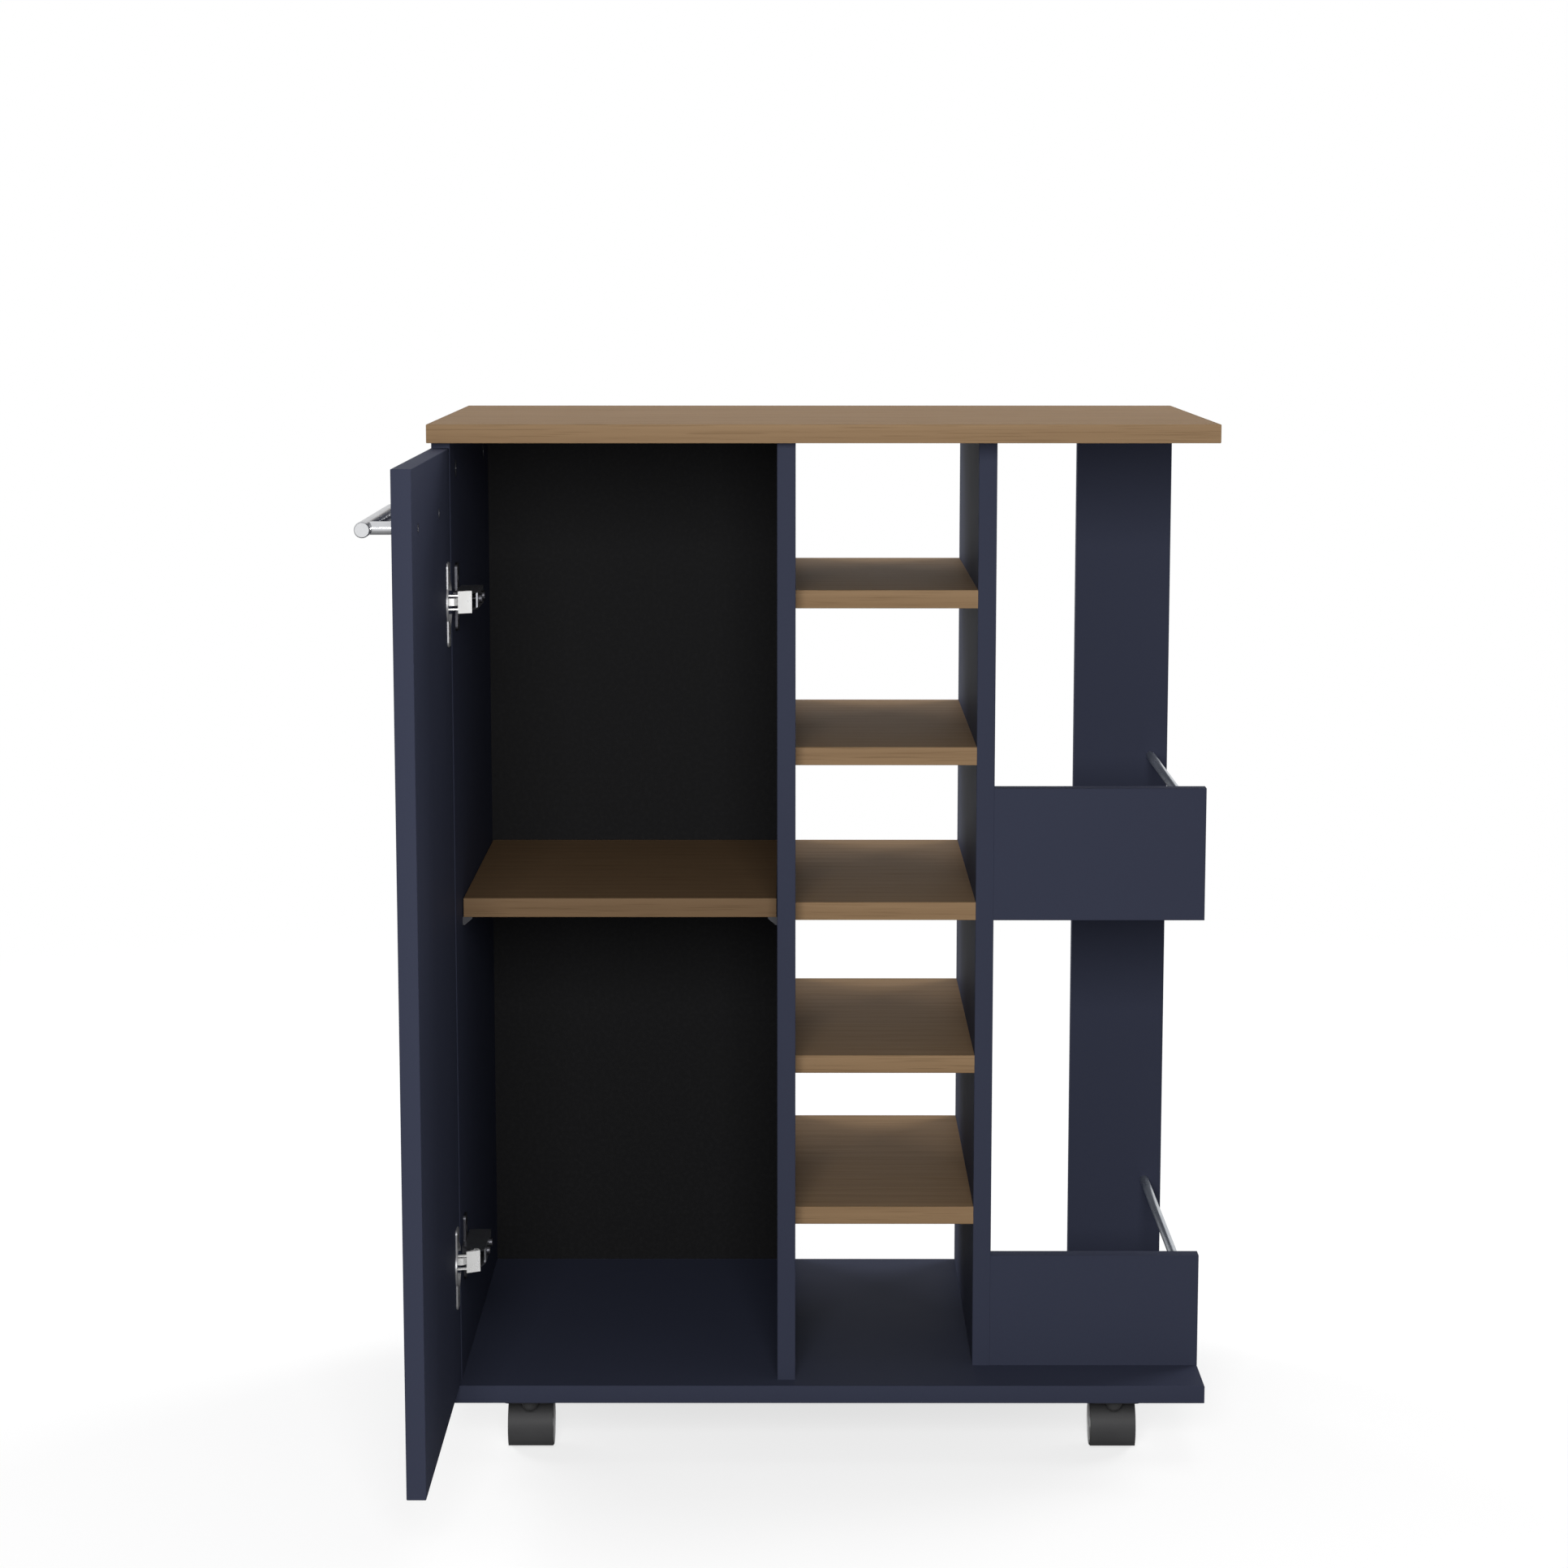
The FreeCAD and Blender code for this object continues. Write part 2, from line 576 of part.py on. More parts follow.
def hinge_point(point, height):
    """Return the point of the cabinet for a place across a hinge."""
    return place(SIDE_LEFT + point[0], CARCASS_FRONT + point[1], height)


def hinge_block(across, along, span, height):
    """Return a block of a hinge, from three pairs of limits about its height."""
    corner = hinge_point((across[0], along[0]), height + span[0])
    return Part.makeBox(across[1] - across[0], along[1] - along[0], span[1] - span[0], corner)


def hinge_prism(points, span, height):
    """Return an upright prism over an outline across a hinge."""
    outline = [(SIDE_LEFT + x, CARCASS_FRONT + y) for x, y in points]
    return prism(outline, (height + span[0], height + span[1]))


def hinge_rod(point, half_length, radius, height):
    """Return an upright round bar centred on the height of a hinge."""
    return rod(hinge_point(point, height - half_length), Z_AXIS, half_length * 2, radius)


def strip(start, end, width):
    """Return the four corners of a strip of a given width between two hinge points."""
    length = distance(start, end)
    side = ((start[1] - end[1]) / length * width / 2, (end[0] - start[0]) / length * width / 2)
    return [(start[0] + side[0], start[1] + side[1]), (end[0] + side[0], end[1] + side[1]),
            (end[0] - side[0], end[1] - side[1]), (start[0] - side[0], start[1] - side[1])]


def link_point(along, off):
    """Return a point of the outer link, along its pin line and off it to the front."""
    length = distance(ARM_PIN, CUP_PIN)
    way = ((CUP_PIN[0] - ARM_PIN[0]) / length, (CUP_PIN[1] - ARM_PIN[1]) / length)
    return (ARM_PIN[0] + way[0] * along - way[1] * off, ARM_PIN[1] + way[1] * along + way[0] * off)


def both_sides(inner, outer):
    """Return the two spans of a pair of cheeks."""
    return ((-outer, -inner), (inner, outer))


def outer_link(height):
    """Return the outer link: a plate with two ears at the arm and a fork at the cup."""
    length = distance(ARM_PIN, CUP_PIN)
    back = LINK_OFFSET + LINK_SHEET
    plate = [link_point(-LINK_PLATE_BACK, LINK_OFFSET), link_point(LINK_PLATE_LENGTH, LINK_OFFSET),
             link_point(LINK_PLATE_LENGTH, back), link_point(-LINK_PLATE_BACK, back)]
    pieces = [hinge_prism(plate, (-LINK_HALF_WIDTH, LINK_HALF_WIDTH), height)]
    ear = [link_point(-LINK_EYE_RADIUS, 0), link_point(LINK_EYE_RADIUS, 0),
           link_point(LINK_PLATE_LENGTH, LINK_OFFSET), link_point(LINK_PLATE_LENGTH, back),
           link_point(-LINK_PLATE_BACK, back)]
    for span in both_sides(LINK_HALF_WIDTH - LINK_SHEET, LINK_HALF_WIDTH):
        pieces.append(hinge_prism(ear, span, height))
        eye = rod(hinge_point(ARM_PIN, height + span[0]), Z_AXIS, LINK_SHEET, LINK_EYE_RADIUS)
        pieces.append(eye)
    prong = [link_point(LINK_PLATE_LENGTH / 2, LINK_OFFSET), link_point(length, -FORK_EYE_RADIUS),
             link_point(length, FORK_EYE_RADIUS), link_point(LINK_PLATE_LENGTH, back),
             link_point(LINK_PLATE_LENGTH / 2, back)]
    for span in both_sides(FORK_HALF_WIDTH - LINK_SHEET, FORK_HALF_WIDTH):
        pieces.append(hinge_prism(prong, span, height))
        pieces.append(rod(hinge_point(CUP_PIN, height + span[0]), Z_AXIS, LINK_SHEET, FORK_EYE_RADIUS))
    body = pieces[0].fuse(pieces[1:]).removeSplitter()
    arm_hole = hinge_rod(ARM_PIN, LINK_HALF_WIDTH + OVERRUN, ARM_PIN_RADIUS + FIT, height)
    cup_hole = hinge_rod(CUP_PIN, LINK_HALF_WIDTH, HINGE_PIN_RADIUS + FIT, height)
    return body.cut([arm_hole, cup_hole])


def inner_link(height):
    """Return the inner link: a cranked bar, pinned in the cup and open at the arm."""
    span = (-GUIDE_HALF_WIDTH, GUIDE_HALF_WIDTH)
    pieces = [
        hinge_prism(strip(CUP_GUIDE_PIN, GUIDE_KNEE, GUIDE_THICKNESS), span, height),
        hinge_prism(strip(GUIDE_KNEE, GUIDE_EYE, GUIDE_THICKNESS), span, height),
        hinge_rod(GUIDE_KNEE, GUIDE_HALF_WIDTH, GUIDE_THICKNESS / 2, height),
        hinge_rod(CUP_GUIDE_PIN, GUIDE_HALF_WIDTH, HINGE_PIN_RADIUS + GUIDE_EYE_WALL, height),
        hinge_rod(GUIDE_EYE, GUIDE_HALF_WIDTH, GUIDE_EYE_RADIUS + GUIDE_EYE_WALL, height),
    ]
    body = pieces[0].fuse(pieces[1:]).removeSplitter()
    cup_hole = hinge_rod(CUP_GUIDE_PIN, LINK_HALF_WIDTH, HINGE_PIN_RADIUS + FIT, height)
    open_hole = hinge_rod(GUIDE_EYE, LINK_HALF_WIDTH, GUIDE_EYE_RADIUS, height)
    return body.cut([cup_hole, open_hole])


def hinge_arm(height):
    """Return the hinge arm: a channel open to the side panel, with a nose for two pins."""
    cheek = [(ARM_FOOT, ARM_LENGTH), (ARM_TOP, ARM_LENGTH), (ARM_TOP, ARM_SHOULDER),
             (ARM_PIN[0] + ARM_NOSE_RADIUS, ARM_PIN[1]), (ARM_PIN[0] - ARM_NOSE_RADIUS, ARM_PIN[1]),
             (GUIDE_PIN[0] - ARM_NOSE_RADIUS, GUIDE_PIN[1]), (ARM_FOOT, ARM_SHOULDER)]
    pieces = [hinge_block((ARM_TOP - ARM_WALL, ARM_TOP), (ARM_SHOULDER, ARM_LENGTH),
                          (-ARM_HALF_WIDTH, ARM_HALF_WIDTH), height)]
    for span in both_sides(ARM_HALF_WIDTH - ARM_WALL, ARM_HALF_WIDTH):
        pieces.append(hinge_prism(cheek, span, height))
        for point in (ARM_PIN, GUIDE_PIN):
            pieces.append(rod(hinge_point(point, height + span[0]), Z_AXIS, ARM_WALL, ARM_NOSE_RADIUS))
    body = pieces[0].fuse(pieces[1:]).removeSplitter()
    holes = [hinge_rod(ARM_PIN, ARM_HALF_WIDTH + OVERRUN, ARM_PIN_RADIUS + FIT, height),
             hinge_rod(GUIDE_PIN, ARM_HALF_WIDTH + OVERRUN, HINGE_PIN_RADIUS + FIT, height)]
    for along in (CLAMP_SCREW_AT, SET_SCREW_AT):
        holes.append(rod(hinge_point((ARM_TOP + OVERRUN, along), height), X_AXIS * -1, ARM_WALL + OVERRUN * 2,
                         CLAMP_SCREW_RADIUS + FIT))
    return body.cut(holes)


def hinge_foot(height):
    """Return the mounting plate: two wings on the side panel and a saddle for the arm."""
    face = BOARD
    along = (FOOT_LINE - FOOT_WIDTH / 2, FOOT_LINE + FOOT_WIDTH / 2)
    corner = hinge_point((face, along[0]), height - FOOT_LENGTH / 2)
    wings = rounded_block((corner.x, corner.x + FOOT_THICKNESS), (corner.y, corner.y + FOOT_WIDTH),
                          (corner.z, corner.z + FOOT_LENGTH), X_AXIS, FOOT_CORNER)
    saddle = hinge_block((face, SADDLE_TOP), SADDLE_SPAN, (-SADDLE_HALF_WIDTH, SADDLE_HALF_WIDTH), height)
    holes = [foot_screw_hole(height, side) for side in (-1, 1)]
    for along in (CLAMP_SCREW_AT, SET_SCREW_AT):
        holes.append(clamp_screw_hole(along, height))
    return wings.fuse(saddle).removeSplitter().cut(holes)


def hinge_screw(head_point, into, spare=0.0, play=0.0):
    """Return a countersunk hinge screw, or its hole."""
    sizes = (HINGE_SCREW_RADIUS, HINGE_SCREW_LENGTH, HINGE_SCREW_HEAD_RADIUS, HINGE_SCREW_HEAD_HEIGHT,
             HINGE_SCREW_POINT)
    return lathe(screw_outline(*sizes, spare, play), head_point, into)


def foot_screw_place(height, side):
    """Return the head of a screw of the mounting plate."""
    return hinge_point((BOARD + FOOT_THICKNESS, FOOT_LINE), height + side * FOOT_SCREW_SPACING / 2)


def foot_screw_hole(height, side):
    """Return the hole of a screw of the mounting plate."""
    return hinge_screw(foot_screw_place(height, side), X_AXIS * -1, FIT, END_PLAY)


def cup_screw_place(height, side):
    """Return the head of a screw of the cup flange."""
    return hinge_point((DOOR_THICKNESS + FLANGE_THICKNESS, SCREW_LINE), height + side * CUP_SCREW_SPACING / 2)


def cup_screw_hole(height, side):
    """Return the hole of a screw of the cup flange."""
    return hinge_screw(cup_screw_place(height, side), X_AXIS * -1, FIT, END_PLAY)


def clamp_screw(along, height):
    """Return a pan head screw that holds the arm on its saddle."""
    shank = ARM_TOP - SADDLE_TOP + CLAMP_SCREW_GRIP
    outline = [(0, CLAMP_HEAD_RADIUS), (CLAMP_HEAD_HEIGHT, CLAMP_HEAD_RADIUS),
               (CLAMP_HEAD_HEIGHT, CLAMP_SCREW_RADIUS), (CLAMP_HEAD_HEIGHT + shank, CLAMP_SCREW_RADIUS)]
    return lathe(outline, hinge_point((ARM_TOP + CLAMP_HEAD_HEIGHT, along), height), X_AXIS * -1)


def clamp_screw_hole(along, height):
    """Return the hole of a clamp screw in the saddle."""
    start = hinge_point((SADDLE_TOP + OVERRUN, along), height)
    return rod(start, X_AXIS * -1, CLAMP_SCREW_GRIP + END_PLAY + OVERRUN, CLAMP_SCREW_RADIUS + FIT)


def hinge_cup(height):
    """Return the hinge cup with its flange, its open mouth and the bosses of its pins."""
    face = DOOR_THICKNESS
    centre = hinge_point((face, CUP_CENTRE), height)
    shell = rod(centre, X_AXIS * -1, CUP_DEPTH, CUP_RADIUS)
    ring = rod(centre, X_AXIS, FLANGE_THICKNESS, FLANGE_RADIUS)
    low = hinge_point((face, SCREW_LINE - FLANGE_WIDTH / 2), height - FLANGE_LENGTH / 2)
    wings = rounded_block((low.x, low.x + FLANGE_THICKNESS), (low.y, low.y + FLANGE_WIDTH),
                          (low.z, low.z + FLANGE_LENGTH), X_AXIS, FLANGE_CORNER)
    cavity = rod(hinge_point((face + FLANGE_THICKNESS + OVERRUN, CUP_CENTRE), height), X_AXIS * -1,
                 CUP_DEPTH - CUP_WALL + FLANGE_THICKNESS + OVERRUN, CUP_RADIUS - CUP_WALL)
    cup = shell.fuse([ring, wings]).cut(cavity)
    floor = face - CUP_DEPTH
    along = (CUP_PIN[1] - PIN_BOSS_MARGIN, CUP_GUIDE_PIN[1] + PIN_BOSS_MARGIN)
    top = max(CUP_PIN[0], CUP_GUIDE_PIN[0]) + PIN_BOSS_MARGIN
    bosses = [hinge_block((floor, top), along, span, height) for span in both_sides(*PIN_BOSS)]
    inside = rod(hinge_point((face, CUP_CENTRE), height), X_AXIS * -1, CUP_DEPTH, CUP_RADIUS)
    bosses = [boss.common(inside) for boss in bosses]
    mouth_end = CUP_CENTRE + math.sqrt((CUP_RADIUS - CUP_WALL) ** 2 - CUP_MOUTH_HALF ** 2)
    mouth = hinge_block((face - CUP_MOUTH_DEPTH, face + FLANGE_THICKNESS + OVERRUN),
                        (mouth_end, DOOR_EDGE + OVERRUN), (-CUP_MOUTH_HALF, CUP_MOUTH_HALF), height)
    holes = [cup_screw_hole(height, side) for side in (-1, 1)]
    holes += [hinge_rod(pin, LINK_HALF_WIDTH + PIN_BOSS_MARGIN, HINGE_PIN_RADIUS + FIT, height)
              for pin in (CUP_PIN, CUP_GUIDE_PIN)]
    return cup.cut(mouth).fuse(bosses).removeSplitter().cut(holes)


def cup_pins(height):
    """Return the pins in a cup: one for the inner link and a stub for each fork prong of the outer link."""
    guide = hinge_rod(CUP_GUIDE_PIN, CUP_PIN_SPAN[1], HINGE_PIN_RADIUS, height)
    reach = CUP_PIN_SPAN[1] - CUP_PIN_SPAN[0]
    stubs = [rod(hinge_point(CUP_PIN, height + span[0]), Z_AXIS, reach, HINGE_PIN_RADIUS)
             for span in both_sides(*CUP_PIN_SPAN)]
    return [guide] + stubs


def cup_bore(height):
    """Return the bore of a hinge cup in the door."""
    start = hinge_point((DOOR_THICKNESS + OVERRUN, CUP_CENTRE), height)
    return rod(start, X_AXIS * -1, CUP_BORE_DEPTH + OVERRUN, CUP_BORE_RADIUS)


def handle_line():
    """Return the x, the near end and the height of the handle bar's axis.

    The bar is shorter than the door is wide. A share of that difference lies at the
    door's free end.
    """
    spare_length = DOOR_HINGE_END - DOOR_FREE_END - HANDLE_BAR_LENGTH
    near = DOOR_FREE_END + spare_length * HANDLE_FREE_END_SHARE
    return (SIDE_LEFT - HANDLE_STANDOFF, near, DOOR_TOP - HANDLE_DROP)


def handle_post_lines():
    """Return the y of the two handle posts."""
    first = handle_line()[1] + (HANDLE_BAR_LENGTH - HANDLE_POST_SPACING) / 2
    return (first, first + HANDLE_POST_SPACING)


def handle_bar():
    """Return the handle bar, with flats where the posts are seated."""
    x, near, z = handle_line()
    outline = [(0, HANDLE_BAR_RADIUS - HANDLE_CHAMFER), (HANDLE_CHAMFER, HANDLE_BAR_RADIUS),
               (HANDLE_BAR_LENGTH - HANDLE_CHAMFER, HANDLE_BAR_RADIUS),
               (HANDLE_BAR_LENGTH, HANDLE_BAR_RADIUS - HANDLE_CHAMFER)]
    bar = lathe(outline, place(x, near, z), Y_AXIS)
    seats = [rod(place(x + HANDLE_BAR_RADIUS / 2, y, z), X_AXIS, HANDLE_BAR_RADIUS, HANDLE_POST_RADIUS + FIT)
             for y in handle_post_lines()]
    return bar.cut(seats)


def handle_post(y):
    """Return one handle post, tapped for its screw."""
    x, _, z = handle_line()
    start = x + HANDLE_BAR_RADIUS / 2
    post = rod(place(start, y, z), X_AXIS, SIDE_LEFT - start, HANDLE_POST_RADIUS)
    return post.cut(handle_screw(y, FIT, END_PLAY))


def handle_screw(y, spare=0.0, play=0.0):
    """Return the countersunk screw of a handle post, from the inner face of the door."""
    z = handle_line()[2]
    length = DOOR_THICKNESS + HANDLE_SCREW_GRIP
    cone = HANDLE_SCREW_HEAD_RADIUS - HANDLE_SCREW_RADIUS
    outline = [(0, HANDLE_SCREW_HEAD_RADIUS + spare), (cone, HANDLE_SCREW_RADIUS + spare),
               (length + play, HANDLE_SCREW_RADIUS + spare)]
    return lathe(outline, place(SIDE_RIGHT, y, z), X_AXIS * -1)


def door():
    """Return the door, open by a right angle, with its cup bores and screw holes."""
    across = (SIDE_LEFT, SIDE_LEFT + DOOR_THICKNESS)
    panel = block(across, (DOOR_FREE_END, DOOR_HINGE_END), (DOOR_BOTTOM, DOOR_TOP))
    cutters = [handle_screw(y, FIT) for y in handle_post_lines()]
    for height in HINGE_HEIGHTS:
        cutters.append(cup_bore(height))
        cutters += [cup_screw_hole(height, side) for side in (-1, 1)]
    return panel.cut(cutters)


def caster_places():
    """Return (name, swivel x, swivel y, trail direction) of the four casters."""
    x = CABINET_WIDTH / 2 - CASTER_X_INSET
    y = CABINET_DEPTH / 2 - CASTER_Y_INSET
    return [
        ("front_left", -x, -y, 1),
        ("front_right", x, -y, 1),
        ("rear_left", -x, y, -1),
        ("rear_right", x, y, -1),
    ]


def caster_screw_lines():
    """Return the four places of the plate screws about the swivel axis."""
    reach = PLATE_SIZE / 2 - PLATE_SCREW_INSET
    return [(a * reach, b * reach) for a in (-1, 1) for b in (-1, 1)]


def caster_screw(x, y, spare=0.0, play=0.0):
    """Return a countersunk screw of a caster plate, driven up into the base."""
    sizes = (CASTER_SCREW_RADIUS, CASTER_SCREW_LENGTH, CASTER_SCREW_HEAD_RADIUS, CASTER_SCREW_HEAD_HEIGHT,
             CASTER_SCREW_POINT)
    return lathe(screw_outline(*sizes, spare, play), place(x, y, BASE_BOTTOM - PLATE_THICKNESS), Z_AXIS)


def caster_plate(x, y):
    """Return the fixed plate of a caster."""
    half = PLATE_SIZE / 2
    span = (BASE_BOTTOM - PLATE_THICKNESS, BASE_BOTTOM)
    plate = rounded_block((x - half, x + half), (y - half, y + half), span, Z_AXIS, PLATE_CORNER)
    return plate.cut([caster_screw(x + dx, y + dy, FIT) for dx, dy in caster_screw_lines()])


def king_pin(x, y):
    """Return the pin that a caster swivels on."""
    return rod(place(x, y, BASE_BOTTOM - PLATE_THICKNESS), Z_AXIS * -1, KING_PIN_LENGTH, KING_PIN_RADIUS)


def caster_hood(x, y, trail):
    """Return the swivelling hood: a stem housing, a fender over both wheels and a web between them."""
    axle_y = y + trail * STEM_OFFSET
    axle = place(x, axle_y, WHEEL_RADIUS)
    top = BASE_BOTTOM - PLATE_THICKNESS - PLATE_GAP
    half = WEB_THICKNESS / 2 + WHEEL_SIDE_GAP + WHEEL_WIDTH
    inner = WHEEL_RADIUS + FENDER_GAP
    outer = inner + FENDER_THICKNESS
    round_centre = place(x, y, top - STEM_ROUND_DROP)
    housing = rod(round_centre, Z_AXIS, STEM_ROUND_DROP, STEM_RADIUS)
    dome = Part.makeSphere(STEM_RADIUS, round_centre, Z_AXIS, math.degrees(-math.pi / 2), 0)
    neck_span = sorted((y, y + trail * NECK_LENGTH))
    neck = block((x - NECK_HALF_WIDTH, x + NECK_HALF_WIDTH), neck_span, (top - NECK_DROP, top))
    tyre_space = rod(place(x - half, axle_y, WHEEL_RADIUS), X_AXIS, half * 2, inner)
    ring = rod(place(x - half, axle_y, WHEEL_RADIUS), X_AXIS, half * 2, outer).cut(tyre_space)
    sector_radius = outer * 2
    corners = [(axle_y, WHEEL_RADIUS)]
    for angle in (FENDER_LOW_ANGLE, 0, FENDER_REAR_ANGLE / 2, FENDER_REAR_ANGLE):
        corners.append((axle_y - trail * sector_radius * math.cos(math.radians(angle)),
                        WHEEL_RADIUS + sector_radius * math.sin(math.radians(angle))))
    points = [place(x - half, py, pz) for py, pz in corners]
    sector = Part.Face(Part.makePolygon(points + [points[0]])).extrude(X_AXIS * (half * 2))
    fender = ring.common(sector)
    web = rod(axle - X_AXIS * (WEB_THICKNESS / 2), X_AXIS, WEB_THICKNESS, WEB_RADIUS)
    bridge = rod(axle - X_AXIS * (WEB_THICKNESS / 2), X_AXIS, WEB_THICKNESS, inner).common(sector)
    shell = housing.fuse([dome, neck]).cut(tyre_space)
    hood = shell.fuse([fender, web, bridge]).removeSplitter()
    socket = rod(place(x, y, top + OVERRUN), Z_AXIS * -1,
                 KING_PIN_LENGTH - PLATE_GAP + END_PLAY + OVERRUN, KING_PIN_RADIUS + FIT)
    bore = rod(axle - X_AXIS * half, X_AXIS, half * 2, AXLE_RADIUS + FIT)
    return hood.cut([socket, bore])


def axle_half_length():
    """Return how far an axle reaches from the middle of its caster."""
    return WEB_THICKNESS / 2 + WHEEL_SIDE_GAP + WHEEL_WIDTH - CAP_SINK - CAP_THICKNESS - HUB_WALL - END_PLAY


def caster_axle(x, y, trail):
    """Return the axle of a caster."""
    half = axle_half_length()
    return rod(place(x - half, y + trail * STEM_OFFSET, WHEEL_RADIUS), X_AXIS, half * 2, AXLE_RADIUS)


def wheel_start(x, y, trail, side):
    """Return the middle of the inner face of a wheel."""
    return place(x + side * (WEB_THICKNESS / 2 + WHEEL_SIDE_GAP), y + trail * STEM_OFFSET, WHEEL_RADIUS)


def caster_wheel(x, y, trail, side):
    """Return one wheel, with a bevelled tread, a blind bore and a seat for its cap."""
    cap_seat = WHEEL_WIDTH - CAP_SINK - CAP_THICKNESS
    bore = AXLE_RADIUS + FIT
    outline = [
        (cap_seat - HUB_WALL, 0),
        (cap_seat - HUB_WALL, bore),
        (0, bore),
        (0, WHEEL_RADIUS - WHEEL_CHAMFER),
        (WHEEL_CHAMFER, WHEEL_RADIUS),
        (WHEEL_WIDTH - WHEEL_CHAMFER, WHEEL_RADIUS),
        (WHEEL_WIDTH, WHEEL_RADIUS - WHEEL_CHAMFER),
        (WHEEL_WIDTH, CAP_RADIUS + FIT),
        (cap_seat, CAP_RADIUS + FIT),
        (cap_seat, 0),
    ]
    return lathe(outline, wheel_start(x, y, trail, side), X_AXIS * side)


def wheel_cap(x, y, trail, side):
    """Return the dished cap on the outer side of a wheel, with a raised hub."""
    outer = WHEEL_WIDTH - CAP_SINK
    seat = outer - CAP_THICKNESS
    dish = outer - CAP_DISH_DEPTH
    outline = [
        (seat, 0),
        (seat, CAP_RADIUS),
        (outer - CAP_LIP, CAP_RADIUS),
        (outer, CAP_RADIUS - CAP_LIP),
        (outer, CAP_DISH_RADIUS),
        (dish, CAP_DISH_RADIUS - CAP_LIP),
        (dish, HUB_RADIUS),
        (outer, HUB_RADIUS - CAP_LIP),
        (outer, 0),
    ]
    return lathe(outline, wheel_start(x, y, trail, side), X_AXIS * side)


def build_panels(holes):
    """Return the boards of the carcass, each drilled for what passes through it."""
    full = (LEFT_END, RIGHT_END)
    depth = (FRONT_EDGE, REAR_EDGE)
    height = (BASE_TOP, TOP_BOTTOM)
    tray = (DIVIDER_RIGHT, RIGHT_END)
    tray_front = (RACK_FRONT, TRAY_BACK_OF_FRONT)
    boards = {
        "base_panel": block(full, depth, (BASE_BOTTOM, BASE_TOP)),
        "top_panel": block(full, depth, (TOP_BOTTOM, TOP_TOP)),
        "left_side": block((SIDE_LEFT, SIDE_RIGHT), (CARCASS_FRONT, REAR_EDGE), height),
        "left_partition": block((PARTITION_LEFT, PARTITION_RIGHT), (CARCASS_FRONT, REAR_EDGE), height),
        "right_partition": block((DIVIDER_LEFT, DIVIDER_RIGHT), (RACK_FRONT, REAR_EDGE), height),
        "rear_post": block((POST_LEFT, RIGHT_END), (POST_FRONT, REAR_EDGE), height),
        "tray_floor": block(tray, (TRAY_BACK_OF_FRONT, POST_FRONT), (TRAY_BOTTOM, TRAY_TOP)),
        "upper_tray_front": block(tray, tray_front, (TRAY_BOTTOM, TRAY_TOP + TRAY_RISE)),
        "lower_tray_front": block(tray, tray_front, (BASE_TOP, BASE_TOP + TRAY_RISE)),
        "back_panel": block(
            (SIDE_LEFT + BACK_PANEL_INSET, PARTITION_RIGHT - BACK_PANEL_INSET),
            (REAR_EDGE, REAR_EDGE + BACK_PANEL_THICKNESS),
            (BASE_BOTTOM + BACK_PANEL_INSET, TOP_TOP - BACK_PANEL_INSET),
        ),
    }
    for index, level in enumerate(RACK_LEVELS):
        boards["rack_shelf_%d" % (index + 1)] = block(
            (PARTITION_RIGHT, DIVIDER_LEFT), (RACK_FRONT, REAR_EDGE), (level - BOARD, level))
    return {name: drilled(board, holes) for name, board in boards.items()}


def cabinet_shelf():
    """Return the loose shelf of the door bay."""
    return block((SIDE_RIGHT + SHELF_SIDE_GAP, PARTITION_LEFT - SHELF_SIDE_GAP),
                 (FRONT_EDGE + SHELF_SETBACK, REAR_EDGE - SHELF_BACK_GAP),
                 (TRAY_TOP - SHELF_THICKNESS, TRAY_TOP))


def build_hinges():
    """Return the sub-parts of the two hinges."""
    heights = HINGE_HEIGHTS
    sides = (-1, 1)
    return {
        "hinge_feet": [hinge_foot(height) for height in heights],
        "hinge_arms": [hinge_arm(height) for height in heights],
        "hinge_outer_links": [outer_link(height) for height in heights],
        "hinge_inner_links": [inner_link(height) for height in heights],
        "hinge_cups": [hinge_cup(height) for height in heights],
        "hinge_arm_pins": [hinge_rod(ARM_PIN, LINK_HALF_WIDTH, ARM_PIN_RADIUS, height) for height in heights]
        + [hinge_rod(GUIDE_PIN, ARM_HALF_WIDTH, HINGE_PIN_RADIUS, height) for height in heights],
        "hinge_cup_pins": [pin for height in heights for pin in cup_pins(height)],
        "hinge_foot_screws": [hinge_screw(foot_screw_place(height, side), X_AXIS * -1)
                              for height in heights for side in sides],
        "hinge_cup_screws": [hinge_screw(cup_screw_place(height, side), X_AXIS * -1)
                             for height in heights for side in sides],
        "hinge_clamp_screws": [clamp_screw(along, height)
                               for height in heights for along in (CLAMP_SCREW_AT, SET_SCREW_AT)],
    }


def build_casters():
    """Return the sub-parts of the four casters."""
    pieces = {"caster_plates": [], "caster_king_pins": [], "caster_screws": []}
    for name, x, y, trail in caster_places():
        pieces["caster_plates"].append(caster_plate(x, y))
        pieces["caster_king_pins"].append(king_pin(x, y))
        pieces["caster_screws"] += [caster_screw(x + dx, y + dy) for dx, dy in caster_screw_lines()]
        pieces["caster_hood_" + name] = [caster_hood(x, y, trail)]
        pieces["caster_axle_" + name] = [caster_axle(x, y, trail)]
        for letter, side in (("a", -1), ("b", 1)):
            wheel = [caster_wheel(x, y, trail, side), wheel_cap(x, y, trail, side)]
            pieces["caster_wheel_" + name + "_" + letter] = wheel
    return pieces


